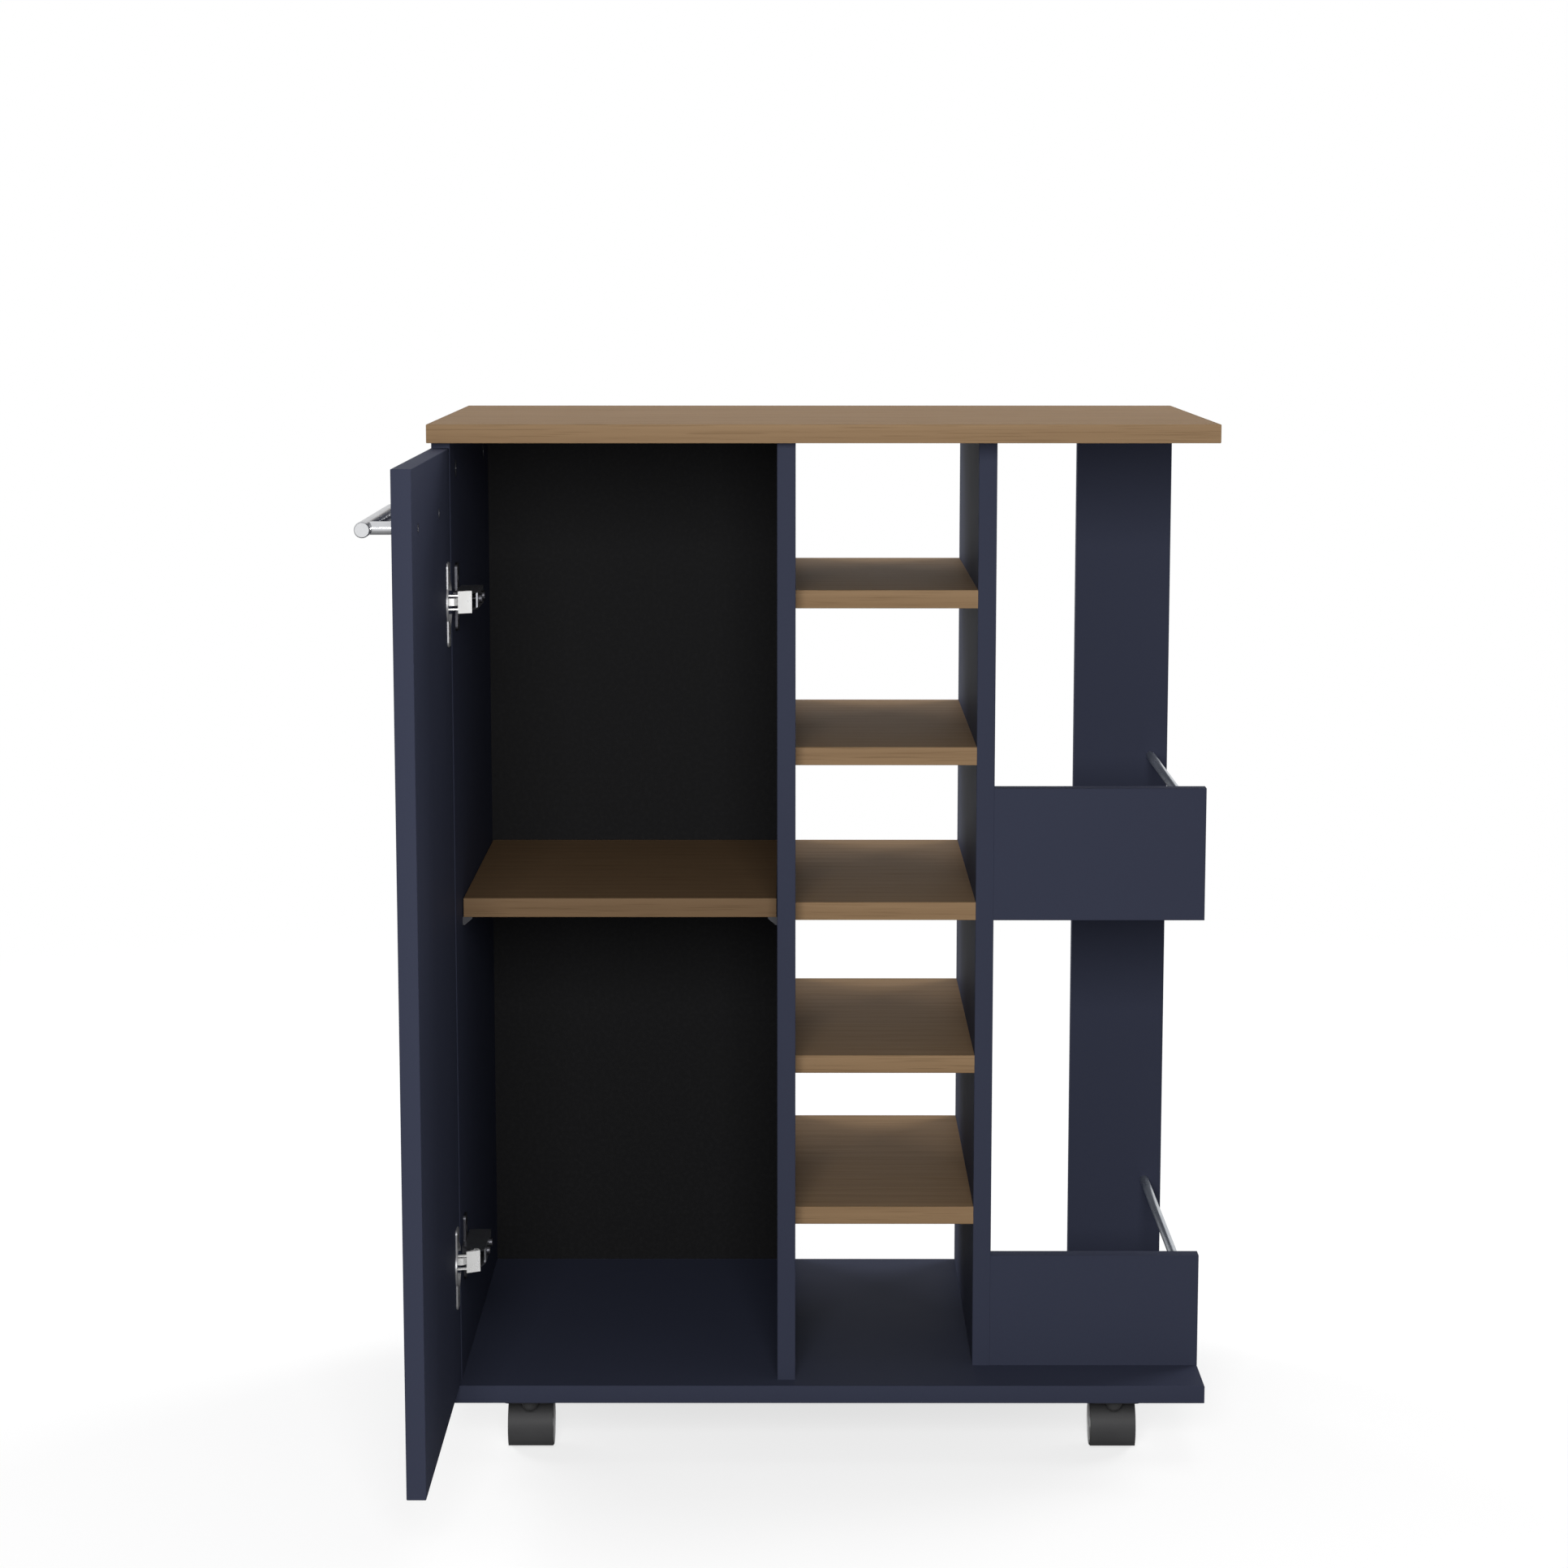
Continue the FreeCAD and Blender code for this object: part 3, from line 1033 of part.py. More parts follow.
def fixed_holes():
    """Return the holes of the rails, shelf supports, hinge feet and caster screws."""
    holes = [rail(z, FIT) for z in rail_places()]
    holes += [support_hole(*where) for where in support_places()]
    holes += [foot_screw_hole(height, side) for height in HINGE_HEIGHTS for side in (-1, 1)]
    for name, x, y, trail in caster_places():
        holes += [caster_screw(x + dx, y + dy, FIT, END_PLAY) for dx, dy in caster_screw_lines()]
    return holes


def build():
    """Model every sub-part and write its file."""
    os.makedirs("parts", exist_ok=True)
    joinery = Joinery()
    for join in (join_uprights, join_rack, join_trays, join_back_panel):
        join(joinery)
    pieces = {name: [board] for name, board in build_panels(joinery.holes + fixed_holes()).items()}
    pieces["cabinet_shelf"] = [cabinet_shelf()]
    pieces["door"] = [door()]
    pieces["upper_rail"], pieces["lower_rail"] = [[rail(z)] for z in rail_places()]
    pieces["handle_bar"] = [handle_bar()]
    pieces["handle_posts"] = [handle_post(y) for y in handle_post_lines()]
    pieces["handle_screws"] = [handle_screw(y) for y in handle_post_lines()]
    pieces["shelf_supports"] = [shelf_support(*where) for where in support_places()]
    pieces["dowels"] = joinery.dowels
    pieces["cam_locks"] = joinery.cams
    pieces["cam_bolts"] = joinery.bolts
    pieces["board_screws"] = joinery.screws
    pieces["back_nails"] = joinery.nails
    pieces.update(build_hinges())
    pieces.update(build_casters())
    for name, solids in pieces.items():
        export(name, solids)
    return pieces


PIECES = build()
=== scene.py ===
"""Looks of a rolling bar cabinet: its finishes, edge bands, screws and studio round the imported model.

Lengths are metres in the model's own frame: X to the right, Y to the back and Z up.
"""

import logging
import math
from abc import ABC, abstractmethod
from dataclasses import dataclass
from enum import Enum
from typing import Any, Iterable

import bmesh
import bpy
import numpy as np
from mathutils import Euler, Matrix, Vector


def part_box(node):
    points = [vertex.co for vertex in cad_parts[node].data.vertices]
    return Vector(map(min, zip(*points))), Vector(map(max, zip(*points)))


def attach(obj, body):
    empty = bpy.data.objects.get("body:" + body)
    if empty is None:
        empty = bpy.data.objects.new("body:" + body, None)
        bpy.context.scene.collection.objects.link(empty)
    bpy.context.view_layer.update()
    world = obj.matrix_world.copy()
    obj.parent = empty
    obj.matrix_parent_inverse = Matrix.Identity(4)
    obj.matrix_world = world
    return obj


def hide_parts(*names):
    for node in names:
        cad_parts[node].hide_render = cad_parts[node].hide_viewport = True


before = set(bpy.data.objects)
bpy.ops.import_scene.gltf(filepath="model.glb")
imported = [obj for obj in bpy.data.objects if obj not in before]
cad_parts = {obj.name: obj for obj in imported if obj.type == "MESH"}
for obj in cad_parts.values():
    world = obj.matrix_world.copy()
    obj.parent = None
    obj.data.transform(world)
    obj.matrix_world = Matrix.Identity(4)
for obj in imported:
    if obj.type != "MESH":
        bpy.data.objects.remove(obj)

LOG = logging.getLogger("bar_cabinet")
MM = 0.001
MERGE_DISTANCE = 0.001 * MM
SAME_PLACE = 0.002 * MM
SHARP_ANGLE = math.radians(32.0)
WIDE_SHARE = 0.95
WHITE = (1.0, 1.0, 1.0, 1.0)
Triple = tuple[float, float, float]
Pair = tuple[float, float]


def paint(code: str) -> tuple[float, float, float, float]:
    """The linear colour of a written screen colour.

    Args:
        code: Six hexadecimal digits, red, green and blue.

    Returns:
        Red, green, blue and an alpha of one, in linear light.
    """
    screen = np.array([int(code[start:start + 2], 16) for start in (0, 2, 4)]) / 255.0
    linear = np.where(screen <= 0.04045, screen / 12.92, ((screen + 0.055) / 1.055) ** 2.4)
    return (*(float(part) for part in linear), 1.0)


class Quantity:
    """A number that varies over a surface; arithmetic on it adds Math nodes."""

    def __init__(self, graph: "Graph", socket: bpy.types.NodeSocket) -> None:
        """Wraps one output socket of a node in the graph."""
        self.graph = graph
        self.socket = socket

    def _maths(self, operation: str, first: Any, second: Any = 0.0) -> "Quantity":
        """One Math node on two operands."""
        made = self.graph.node("ShaderNodeMath", {"operation": operation}, {0: first, 1: second})
        return Quantity(self.graph, made.outputs[0])

    def __add__(self, other: Any) -> "Quantity":
        """Sum with a number or another quantity."""
        return self._maths("ADD", self, other)

    __radd__ = __add__

    def __sub__(self, other: Any) -> "Quantity":
        """This less the other."""
        return self._maths("SUBTRACT", self, other)

    def __rsub__(self, other: Any) -> "Quantity":
        """The other less this."""
        return self._maths("SUBTRACT", other, self)

    def __mul__(self, other: Any) -> "Quantity":
        """Product with a number or another quantity."""
        return self._maths("MULTIPLY", self, other)

    __rmul__ = __mul__

    def __pow__(self, other: Any) -> "Quantity":
        """This raised to the other."""
        return self._maths("POWER", self, other)

    def __gt__(self, other: Any) -> "Quantity":
        """One where this is over the other, else zero."""
        return self._maths("GREATER_THAN", self, other)

    def __lt__(self, other: Any) -> "Quantity":
        """One where this is under the other, else zero."""
        return self._maths("LESS_THAN", self, other)

    def sine(self) -> "Quantity":
        """Sine of this, in radians."""
        return self._maths("SINE", self)

    def ramp(self, start: float, end: float) -> "Quantity":
        """Smooth step from zero at start to one at end.

        Args:
            start: Value of this at which the step is zero.
            end: Value of this at which the step is one.

        Returns:
            The step, held at zero and one outside the two values.
        """
        settings = {"interpolation_type": "SMOOTHSTEP"}
        sockets = {"Value": self, "From Min": start, "From Max": end}
        return Quantity(self.graph, self.graph.node("ShaderNodeMapRange", settings, sockets).outputs[0])


class Graph:
    """The node tree of one material or of the world."""

    def __init__(self, tree: bpy.types.NodeTree) -> None:
        """Empties the tree and keeps it."""
        tree.nodes.clear()
        self.tree = tree

    def node(
        self, kind: str, settings: dict[str, Any] | None = None, sockets: dict | None = None,
    ) -> bpy.types.Node:
        """Adds one node.

        Args:
            kind: The node's type.
            settings: Its own settings, set first.
            sockets: The value or link of each input, by name or number.

        Returns:
            The new node.
        """
        made = self.tree.nodes.new(kind)
        for name, value in (settings or {}).items():
            setattr(made, name, value)
        for key, value in (sockets or {}).items():
            target = made.inputs[key]
            source = value.socket if isinstance(value, Quantity) else value
            if isinstance(source, bpy.types.NodeSocket):
                self.tree.links.new(source, target)
            else:
                target.default_value = source
        return made

    def place(self, shift: Triple = (0.0, 0.0, 0.0)) -> bpy.types.NodeSocket:
        """Object coordinates, moved by a shift so that like boards differ."""
        inside = self.node("ShaderNodeTexCoord").outputs["Object"]
        return self.node("ShaderNodeMapping", None, {"Vector": inside, "Location": shift}).outputs[0]

    def parts(self, vector: bpy.types.NodeSocket) -> list[Quantity]:
        """The X, Y and Z of a vector."""
        split = self.node("ShaderNodeSeparateXYZ", None, {0: vector})
        return [Quantity(self, out) for out in split.outputs]

    def noise(self, place: bpy.types.NodeSocket, per_metre: float | Triple, detail: float) -> Quantity:
        """Cloudy noise between zero and one.

        Args:
            place: Coordinates that it is read at.
            per_metre: Features in a metre, one number for all ways or one each for X, Y and Z.
            detail: Octaves of finer noise.

        Returns:
            The noise.
        """
        rates = per_metre if isinstance(per_metre, tuple) else (per_metre,) * 3
        stretched = self.node("ShaderNodeVectorMath", {"operation": "MULTIPLY"}, {0: place, 1: rates})
        sockets = {"Vector": stretched.outputs[0], "Scale": 1.0, "Detail": detail}
        return Quantity(self, self.node("ShaderNodeTexNoise", None, sockets).outputs[0])

    def mixed(self, factor: Any, first: Any, second: Any) -> bpy.types.NodeSocket:
        """Mix of two colours by a factor; the node's inputs 6 and 7 and its output 2 are colours."""
        sockets = {0: factor, 6: first, 7: second}
        return self.node("ShaderNodeMix", {"data_type": "RGBA"}, sockets).outputs[2]

    def bump(self, height: Quantity, depth: float) -> bpy.types.NodeSocket:
        """Normal of a surface whose height varies over the given depth."""
        sockets = {"Height": height, "Strength": 1.0, "Distance": depth}
        return self.node("ShaderNodeBump", None, sockets).outputs[0]


@dataclass(frozen=True)
class Finish(ABC):
    """What a surface is made of and how it is finished.

    A finish's roughness is that of its smoothest spots, and what varies adds to it. The
    edges of a pattern are the two values of noise between which it sets in, and its shares
    say how much of the colour or of the relief it takes.
    """

    name: str

    @abstractmethod
    def sockets(self, graph: Graph, place: bpy.types.NodeSocket) -> dict[str, Any]:
        """Values and links of the surface shader's inputs."""

    def material(self, mark: str = "", shift: Triple = (0.0, 0.0, 0.0)) -> bpy.types.Material:
        """Makes the finish as a material.

        Args:
            mark: Added to the finish's name where several pieces vary.
            shift: Moves the pattern, so that like boards differ.

        Returns:
            The new material.
        """
        made = bpy.data.materials.new(self.name + mark)
        made.use_nodes = True
        graph = Graph(made.node_tree)
        shader = graph.node("ShaderNodeBsdfPrincipled", None, self.sockets(graph, graph.place(shift)))
        graph.node("ShaderNodeOutputMaterial", None, {"Surface": shader.outputs[0]})
        made.diffuse_color = shader.inputs["Base Color"].default_value
        return made


@dataclass(frozen=True)
class WoodPrint(Finish):
    """Oak print under a matt melamine film, with its grain along X."""

    pale: str = "9c8162"
    deep: str = "7c6246"
    pore: str = "5b452f"
    wander_per_metre: Triple = (1.1, 5.0, 5.0)
    cloud_per_metre: Triple = (1.7, 13.0, 30.0)
    fibres_per_metre: Triple = (2.6, 240.0, 240.0)
    pores_per_metre: Triple = (15.0, 950.0, 950.0)
    pore_edges: Pair = (0.56, 0.72)
    line_spacing: float = 19.0 * MM
    line_wander: float = 9.0
    line_share: float = 0.14
    cloud_share: float = 0.36
    fibre_share: float = 0.62
    tone_drop: float = 0.06
    pore_share: float = 0.26
    roughness: float = 0.56
    fibre_roughness: float = 0.12
    pore_roughness: float = 0.10
    gloss_level: float = 0.09
    fibre_relief_share: float = 0.35
    pore_depth: float = 0.08 * MM

    def sockets(self, graph: Graph, place: bpy.types.NodeSocket) -> dict[str, Any]:
        """Growth lines, fibres and short pores along X.

        The growth lines are the sine of the distance across the grain, which slow noise
        pushes to and fro. Fibres are noise drawn out along X, and pores are its peaks.
        """
        _, across, height = graph.parts(place)
        wander = graph.noise(place, self.wander_per_metre, detail=2.0)
        turns = (across + height) * (math.tau / self.line_spacing) + wander * self.line_wander
        lines = turns.sine() * 0.5 + 0.5
        cloud = graph.noise(place, self.cloud_per_metre, detail=3.0)
        fibres = graph.noise(place, self.fibres_per_metre, detail=4.0)
        pores = graph.noise(place, self.pores_per_metre, detail=1.0).ramp(*self.pore_edges)
        tone = lines * self.line_share + cloud * self.cloud_share + fibres * self.fibre_share
        board = graph.mixed(tone - self.tone_drop, paint(self.deep), paint(self.pale))
        return {
            "Base Color": graph.mixed(pores * self.pore_share, board, paint(self.pore)),
            "Roughness": fibres * self.fibre_roughness + pores * self.pore_roughness + self.roughness,
            "Specular IOR Level": self.gloss_level,
            "Normal": graph.bump(fibres * self.fibre_relief_share - pores, self.pore_depth),
        }


@dataclass(frozen=True)
class Melamine(Finish):
    """Plain coloured melamine film with a fine pearl texture."""

    colour: str = "393d4d"
    shade: str = "343747"
    cloud_per_metre: float = 3.0
    pearls_per_metre: float = 820.0
    touches_per_metre: float = 26.0
    cloud_share: float = 0.8
    pearl_share: float = 0.3
    roughness: float = 0.595
    touch_roughness: float = 0.05
    gloss_level: float = 0.028
    pearl_depth: float = 0.05 * MM

    def sockets(self, graph: Graph, place: bpy.types.NodeSocket) -> dict[str, Any]:
        """Even colour with slow clouds, and a pearl of fine rounded bumps."""
        cloud = graph.noise(place, self.cloud_per_metre, detail=3.0)
        pearl = graph.noise(place, self.pearls_per_metre, detail=1.0)
        touch = graph.noise(place, self.touches_per_metre, detail=4.0)
        tone = cloud * self.cloud_share + pearl * self.pearl_share
        return {
            "Base Color": graph.mixed(tone, paint(self.shade), paint(self.colour)),
            "Roughness": touch * self.touch_roughness + self.roughness,
            "Specular IOR Level": self.gloss_level,
            "Normal": graph.bump(pearl, self.pearl_depth),
        }


@dataclass(frozen=True)
class Hardboard(Finish):
    """Thin black faced hardboard with the screen mark of its press."""

    colour: str = "19191a"
    speck: str = "1e1e1f"
    specks_per_metre: float = 260.0
    speck_edges: Pair = (0.35, 0.8)
    roughness: float = 0.55
    speck_roughness: float = 0.15
    gloss_level: float = 0.04
    screen_spacing: float = 1.4 * MM
    screen_depth: float = 0.06 * MM
    screen_relief_share: float = 0.5
    speck_relief_share: float = 0.35

    def sockets(self, graph: Graph, place: bpy.types.NodeSocket) -> dict[str, Any]:
        """A woven screen mark: the product of two sines across X and Z."""
        across, _, height = graph.parts(place)
        rate = math.tau / self.screen_spacing
        screen = (across * rate).sine() * (height * rate).sine()
        specks = graph.noise(place, self.specks_per_metre, detail=3.0)
        share = specks.ramp(*self.speck_edges)
        relief = screen * self.screen_relief_share + specks * self.speck_relief_share
        return {
            "Base Color": graph.mixed(share, paint(self.colour), paint(self.speck)),
            "Roughness": specks * self.speck_roughness + self.roughness,
            "Specular IOR Level": self.gloss_level,
            "Normal": graph.bump(relief, self.screen_depth),
        }


@dataclass(frozen=True, kw_only=True)
class Metal(Finish):
    """Bare or plated metal, polished, brushed or cast."""

    colour: str
    dull: str
    roughness: float
    unevenness: float
    metallic: float = 1.0
    marks_per_metre: float | Triple = 160.0
    mark_share: float = 0.3
    mark_depth: float = 0.001 * MM
    patches_per_metre: float = 60.0
    patch_edges: Pair = (0.35, 0.75)
    patch_share: float = 0.6

    def sockets(self, graph: Graph, place: bpy.types.NodeSocket) -> dict[str, Any]:
        """Brush or casting marks as drawn-out noise, and slow dull patches."""
        marks = graph.noise(place, self.marks_per_metre, detail=3.0)
        patches = graph.noise(place, self.patches_per_metre, detail=3.0).ramp(*self.patch_edges)
        dullness = patches * self.patch_share + marks * self.mark_share
        return {
            "Base Color": graph.mixed(dullness, paint(self.colour), paint(self.dull)),
            "Metallic": self.metallic,
            "Roughness": (patches + marks) * self.unevenness + self.roughness,
            "Normal": graph.bump(marks, self.mark_depth),
        }


@dataclass(frozen=True, kw_only=True)
class DrawnBar(Metal):
    """Brushed round bar with pale matt caps on its flat ends."""

    way: Triple
    middle: Triple
    half_length: float
    end_colour: str = "c2c3c5"
    end_roughness: float = 0.5
    end_margin: float = 0.15 * MM

    @classmethod
    def of_node(cls, node: str, **looks: Any) -> "DrawnBar":
        """The finish, measured on the bar that it goes to.

        The bar's direction is the one in which its corners are spread the most.

        Args:
            node: The bar's node.
            looks: Values of the other fields.

        Returns:
            The finish.
        """
        corners = np.array([corner.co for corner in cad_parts[node].data.vertices])
        low, high = (np.array(corner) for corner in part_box(node))
        middle = (low + high) / 2.0
        way = np.linalg.svd(corners - middle, full_matrices=False)[2][0]
        reach = float(np.abs((corners - middle) @ way).max())
        return cls(way=tuple(way.tolist()), middle=tuple(middle.tolist()), half_length=reach, **looks)

    def sockets(self, graph: Graph, place: bpy.types.NodeSocket) -> dict[str, Any]:
        """The metal, and the caps where the distance along the bar is the greatest."""
        base = super().sockets(graph, place)
        steps = zip(graph.parts(place), self.middle, self.way)
        along = sum(((part - centre) * share for part, centre, share in steps), 0.0)
        end = along * along > (self.half_length - self.end_margin) ** 2
        base["Base Color"] = graph.mixed(end, base["Base Color"], paint(self.end_colour))
        base["Roughness"] = base["Roughness"] * (1.0 - end) + end * self.end_roughness
        base["Metallic"] = (1.0 - end) * self.metallic
        return base


@dataclass(frozen=True, kw_only=True)
class Moulding(Finish):
    """Moulded plastic or painted steel with a fine spark texture."""

    colour: str
    shade: str
    roughness: float
    gloss_level: float = 0.4
    flow_per_metre: Triple = (35.0, 35.0, 60.0)
    flow_share: float = 0.8
    flow_roughness: float = 0.14
    grains_per_metre: float = 900.0
    grain_share: float = 0.2
    grain_depth: float = 0.03 * MM

    def sockets(self, graph: Graph, place: bpy.types.NodeSocket) -> dict[str, Any]:
        """Fine even grain, with slow flow marks in the colour."""
        grain = graph.noise(place, self.grains_per_metre, detail=2.0)
        flow = graph.noise(place, self.flow_per_metre, detail=3.0)
        tone = flow * self.flow_share + grain * self.grain_share
        return {
            "Base Color": graph.mixed(tone, paint(self.shade), paint(self.colour)),
            "Roughness": flow * self.flow_roughness + self.roughness,
            "Specular IOR Level": self.gloss_level,
            "Normal": graph.bump(grain, self.grain_depth),
        }


@dataclass(frozen=True, kw_only=True)
class WheelMoulding(Moulding):
    """Wheel plastic: a dark tyre, and a pale pressed cap on the outer side."""

    hub: Triple
    cap_from: float
    cap_colour: str = "d2d2d2"
    cap_shade: str = "c2c2c3"
    cap_radius: float = 17.85 * MM
    cap_margin: float = 0.05 * MM
    turning_spacing: float = 0.6 * MM
    turning_share: float = 0.35

    def sockets(self, graph: Graph, place: bpy.types.NodeSocket) -> dict[str, Any]:
        """The moulding, with the cap's colour inside its radius on the outer side.

        The cap is where the distance from the axle line is under the cap's radius and the
        distance from the caster's middle plane, along the axle, is over a limit, which has
        the sign of the wheel's side.
        """
        base = super().sockets(graph, place)
        along, across, height = graph.parts(place)
        depth = across - self.hub[1]
        rise = height - self.hub[2]
        reach = (depth * depth + rise * rise) ** 0.5
        out = (along - self.hub[0]) * math.copysign(1.0, self.cap_from)
        cap = (reach < self.cap_radius + self.cap_margin) * (out > abs(self.cap_from))
        turned = (reach * (math.tau / self.turning_spacing)).sine() * 0.5 + 0.5
        disc = graph.mixed(turned * self.turning_share, paint(self.cap_colour), paint(self.cap_shade))
        base["Base Color"] = graph.mixed(cap, base["Base Color"], disc)
        return base


@dataclass(frozen=True)
class Beech(Finish):
    """Compressed beech of the dowels, with its flecks."""

    colour: str = "c9a77c"
    fleck: str = "a27c52"
    flecks_per_metre: Triple = (300.0, 900.0, 900.0)
    fleck_edges: Pair = (0.5, 0.7)
    roughness: float = 0.6
    fleck_roughness: float = 0.1
    fleck_depth: float = 0.03 * MM

    def sockets(self, graph: Graph, place: bpy.types.NodeSocket) -> dict[str, Any]:
        """Short flecks in an even ground."""
        flecks = graph.noise(place, self.flecks_per_metre, detail=2.0).ramp(*self.fleck_edges)
        return {
            "Base Color": graph.mixed(flecks, paint(self.colour), paint(self.fleck)),
            "Roughness": flecks * self.fleck_roughness + self.roughness,
            "Normal": graph.bump(flecks, self.fleck_depth),
        }


OAK = WoodPrint("oak_print")
# The same oak print, darkened as painted shade for the shelf that sits back in the closed bay under the
# top panel.
SHADED_OAK = WoodPrint("deep_oak_print", pale="80684e", deep="644e37", pore="4a3826")
NAVY = Melamine("navy_melamine")
BACK = Hardboard("black_hardboard")
BRUSHED = (1500.0, 120.0, 1500.0)
CHROME = Metal(
    "polished_chrome", colour="cfd0d3", dull="c9cacd", roughness=0.07, unevenness=0.01,
    metallic=0.92, mark_depth=0.0002 * MM,
)
SATIN_CHROME = Metal(
    "satin_chrome", colour="aab0b7", dull="9ca2aa", roughness=0.26, unevenness=0.03, metallic=0.75,
)
# Lit copy of the hinge nickel: nearly white and mostly diffuse, a painted highlight on the link fronts.
LIT_NICKEL = Metal(
    "bright_nickel", colour="fafaf9", dull="f0f0ee", roughness=0.24, unevenness=0.04,
    metallic=0.25, marks_per_metre=BRUSHED,
)
# Shaded copy of the hinge nickel for the arms: darker grey as painted shade.
SHADED_GREY_NICKEL = Metal(
    "grey_nickel", colour="7b7c80", dull="6d6e72", roughness=0.3, unevenness=0.04,
    metallic=0.85, marks_per_metre=BRUSHED,
)
SATIN_NICKEL = Metal(
    "satin_nickel", colour="a9a9ab", dull="9b9b9d", roughness=0.34, unevenness=0.05,
    metallic=0.6, marks_per_metre=BRUSHED,
)
# Darkest copy of the hinge nickel: painted shade on the hinge feet and on the screws in the hinges and
# the door.
SHADED_DARK_NICKEL = Metal(
    "dark_nickel", colour="4e4e52", dull="414145", roughness=0.36, unevenness=0.06,
    marks_per_metre=BRUSHED,
)
ZINC = Metal(
    "zinc_plating", colour="94979e", dull="7b7e86", roughness=0.28, unevenness=0.08,
    marks_per_metre=700.0, mark_depth=0.01 * MM,
)
CASTING = Metal(
    "zinc_casting", colour="47484c", dull="3a3b3f", roughness=0.42, unevenness=0.12,
    marks_per_metre=900.0, mark_depth=0.04 * MM,
)
BLACK_STEEL = Moulding("black_enamel", colour="26262a", shade="1c1c1f", roughness=0.31)
SUPPORT_PLASTIC = Moulding("dark_plastic", colour="2e2e33", shade="222226", roughness=0.40)
HOOD_PLASTIC = Moulding(
    "hood_plastic", colour="49494a", shade="404041", roughness=0.45, gloss_level=0.12,
)
DOWEL_BEECH = Beech("dowel_beech")


class Surface:
    """A mesh being worked out: places of its corners and the faces that join them."""

    def __init__(self) -> None:
        """Starts with nothing."""
        self.points: list[np.ndarray] = []
        self.faces: list[list[int]] = []
        self.count = 0

    def _take(self, points: np.ndarray) -> int:
        """Adds corner places and returns the number of the first."""
        first = self.count
        self.points.append(points.reshape(-1, 3))
        self.count += len(self.points[-1])
        return first

    def grid(self, places: np.ndarray, wrap_rows: bool = False, wrap_columns: bool = False) -> None:
        """Adds a grid of four-sided faces.

        Args:
            places: Rows by columns of places; faces point along column step times row step.
            wrap_rows: The last row joins the first.
            wrap_columns: The last column joins the first.
        """
        rows, columns = places.shape[:2]
        numbers = self._take(places) + np.arange(rows * columns).reshape(rows, columns)
        if wrap_rows:
            numbers = np.vstack([numbers, numbers[:1]])
        if wrap_columns:
            numbers = np.hstack([numbers, numbers[:, :1]])
        corners = (numbers[:-1, :-1], numbers[:-1, 1:], numbers[1:, 1:], numbers[1:, :-1])
        self.faces.extend(np.stack(corners, axis=-1).reshape(-1, 4).tolist())

    def cap(self, ring: np.ndarray) -> None:
        """Closes a convex ring with one face that points by the right hand along the ring."""
        first = self._take(ring)
        self.faces.append(list(range(first, first + len(ring))))

    def placed(self, name: str, finish: bpy.types.Material) -> bpy.types.Object:
        """Makes the object of all that was added, in the scene."""
        mesh = bpy.data.meshes.new(name)
        mesh.from_pydata(np.vstack(self.points).tolist(), [], self.faces)
        mesh.materials.append(finish)
        made = bpy.data.objects.new(name, mesh)
        bpy.context.scene.collection.objects.link(made)
        return made

    def piece(self, name: str, body: str, finish: bpy.types.Material) -> bpy.types.Object:
        """Makes a piece of the cabinet, merged and smooth but for its edges.

        Args:
            name: The piece's name.
            body: The body that it rides on.
            finish: Its material.

        Returns:
            The new object.
        """
        made = self.placed(name, finish)
        self._merge(made.data)
        made.data.shade_smooth()
        made.data.set_sharp_from_angle(angle=SHARP_ANGLE)
        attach(made, body)
        LOG.info("%s: %d faces on %s", name, len(made.data.polygons), body)
        return made

    @staticmethod
    def _merge(mesh: bpy.types.Mesh) -> None:
        """Joins corners that lie in one place."""
        work = bmesh.new()
        work.from_mesh(mesh)
        bmesh.ops.remove_doubles(work, verts=work.verts, dist=MERGE_DISTANCE)
        work.to_mesh(mesh)
        work.free()


class Side(Enum):
    """The side of a board, as the direction that it faces."""

    LEFT = (-1.0, 0.0, 0.0)
    RIGHT = (1.0, 0.0, 0.0)
    FRONT = (0.0, -1.0, 0.0)
    REAR = (0.0, 1.0, 0.0)
    UNDER = (0.0, 0.0, -1.0)
    OVER = (0.0, 0.0, 1.0)

    def way(self) -> np.ndarray:
        """The direction as an array."""
        return np.array(self.value)


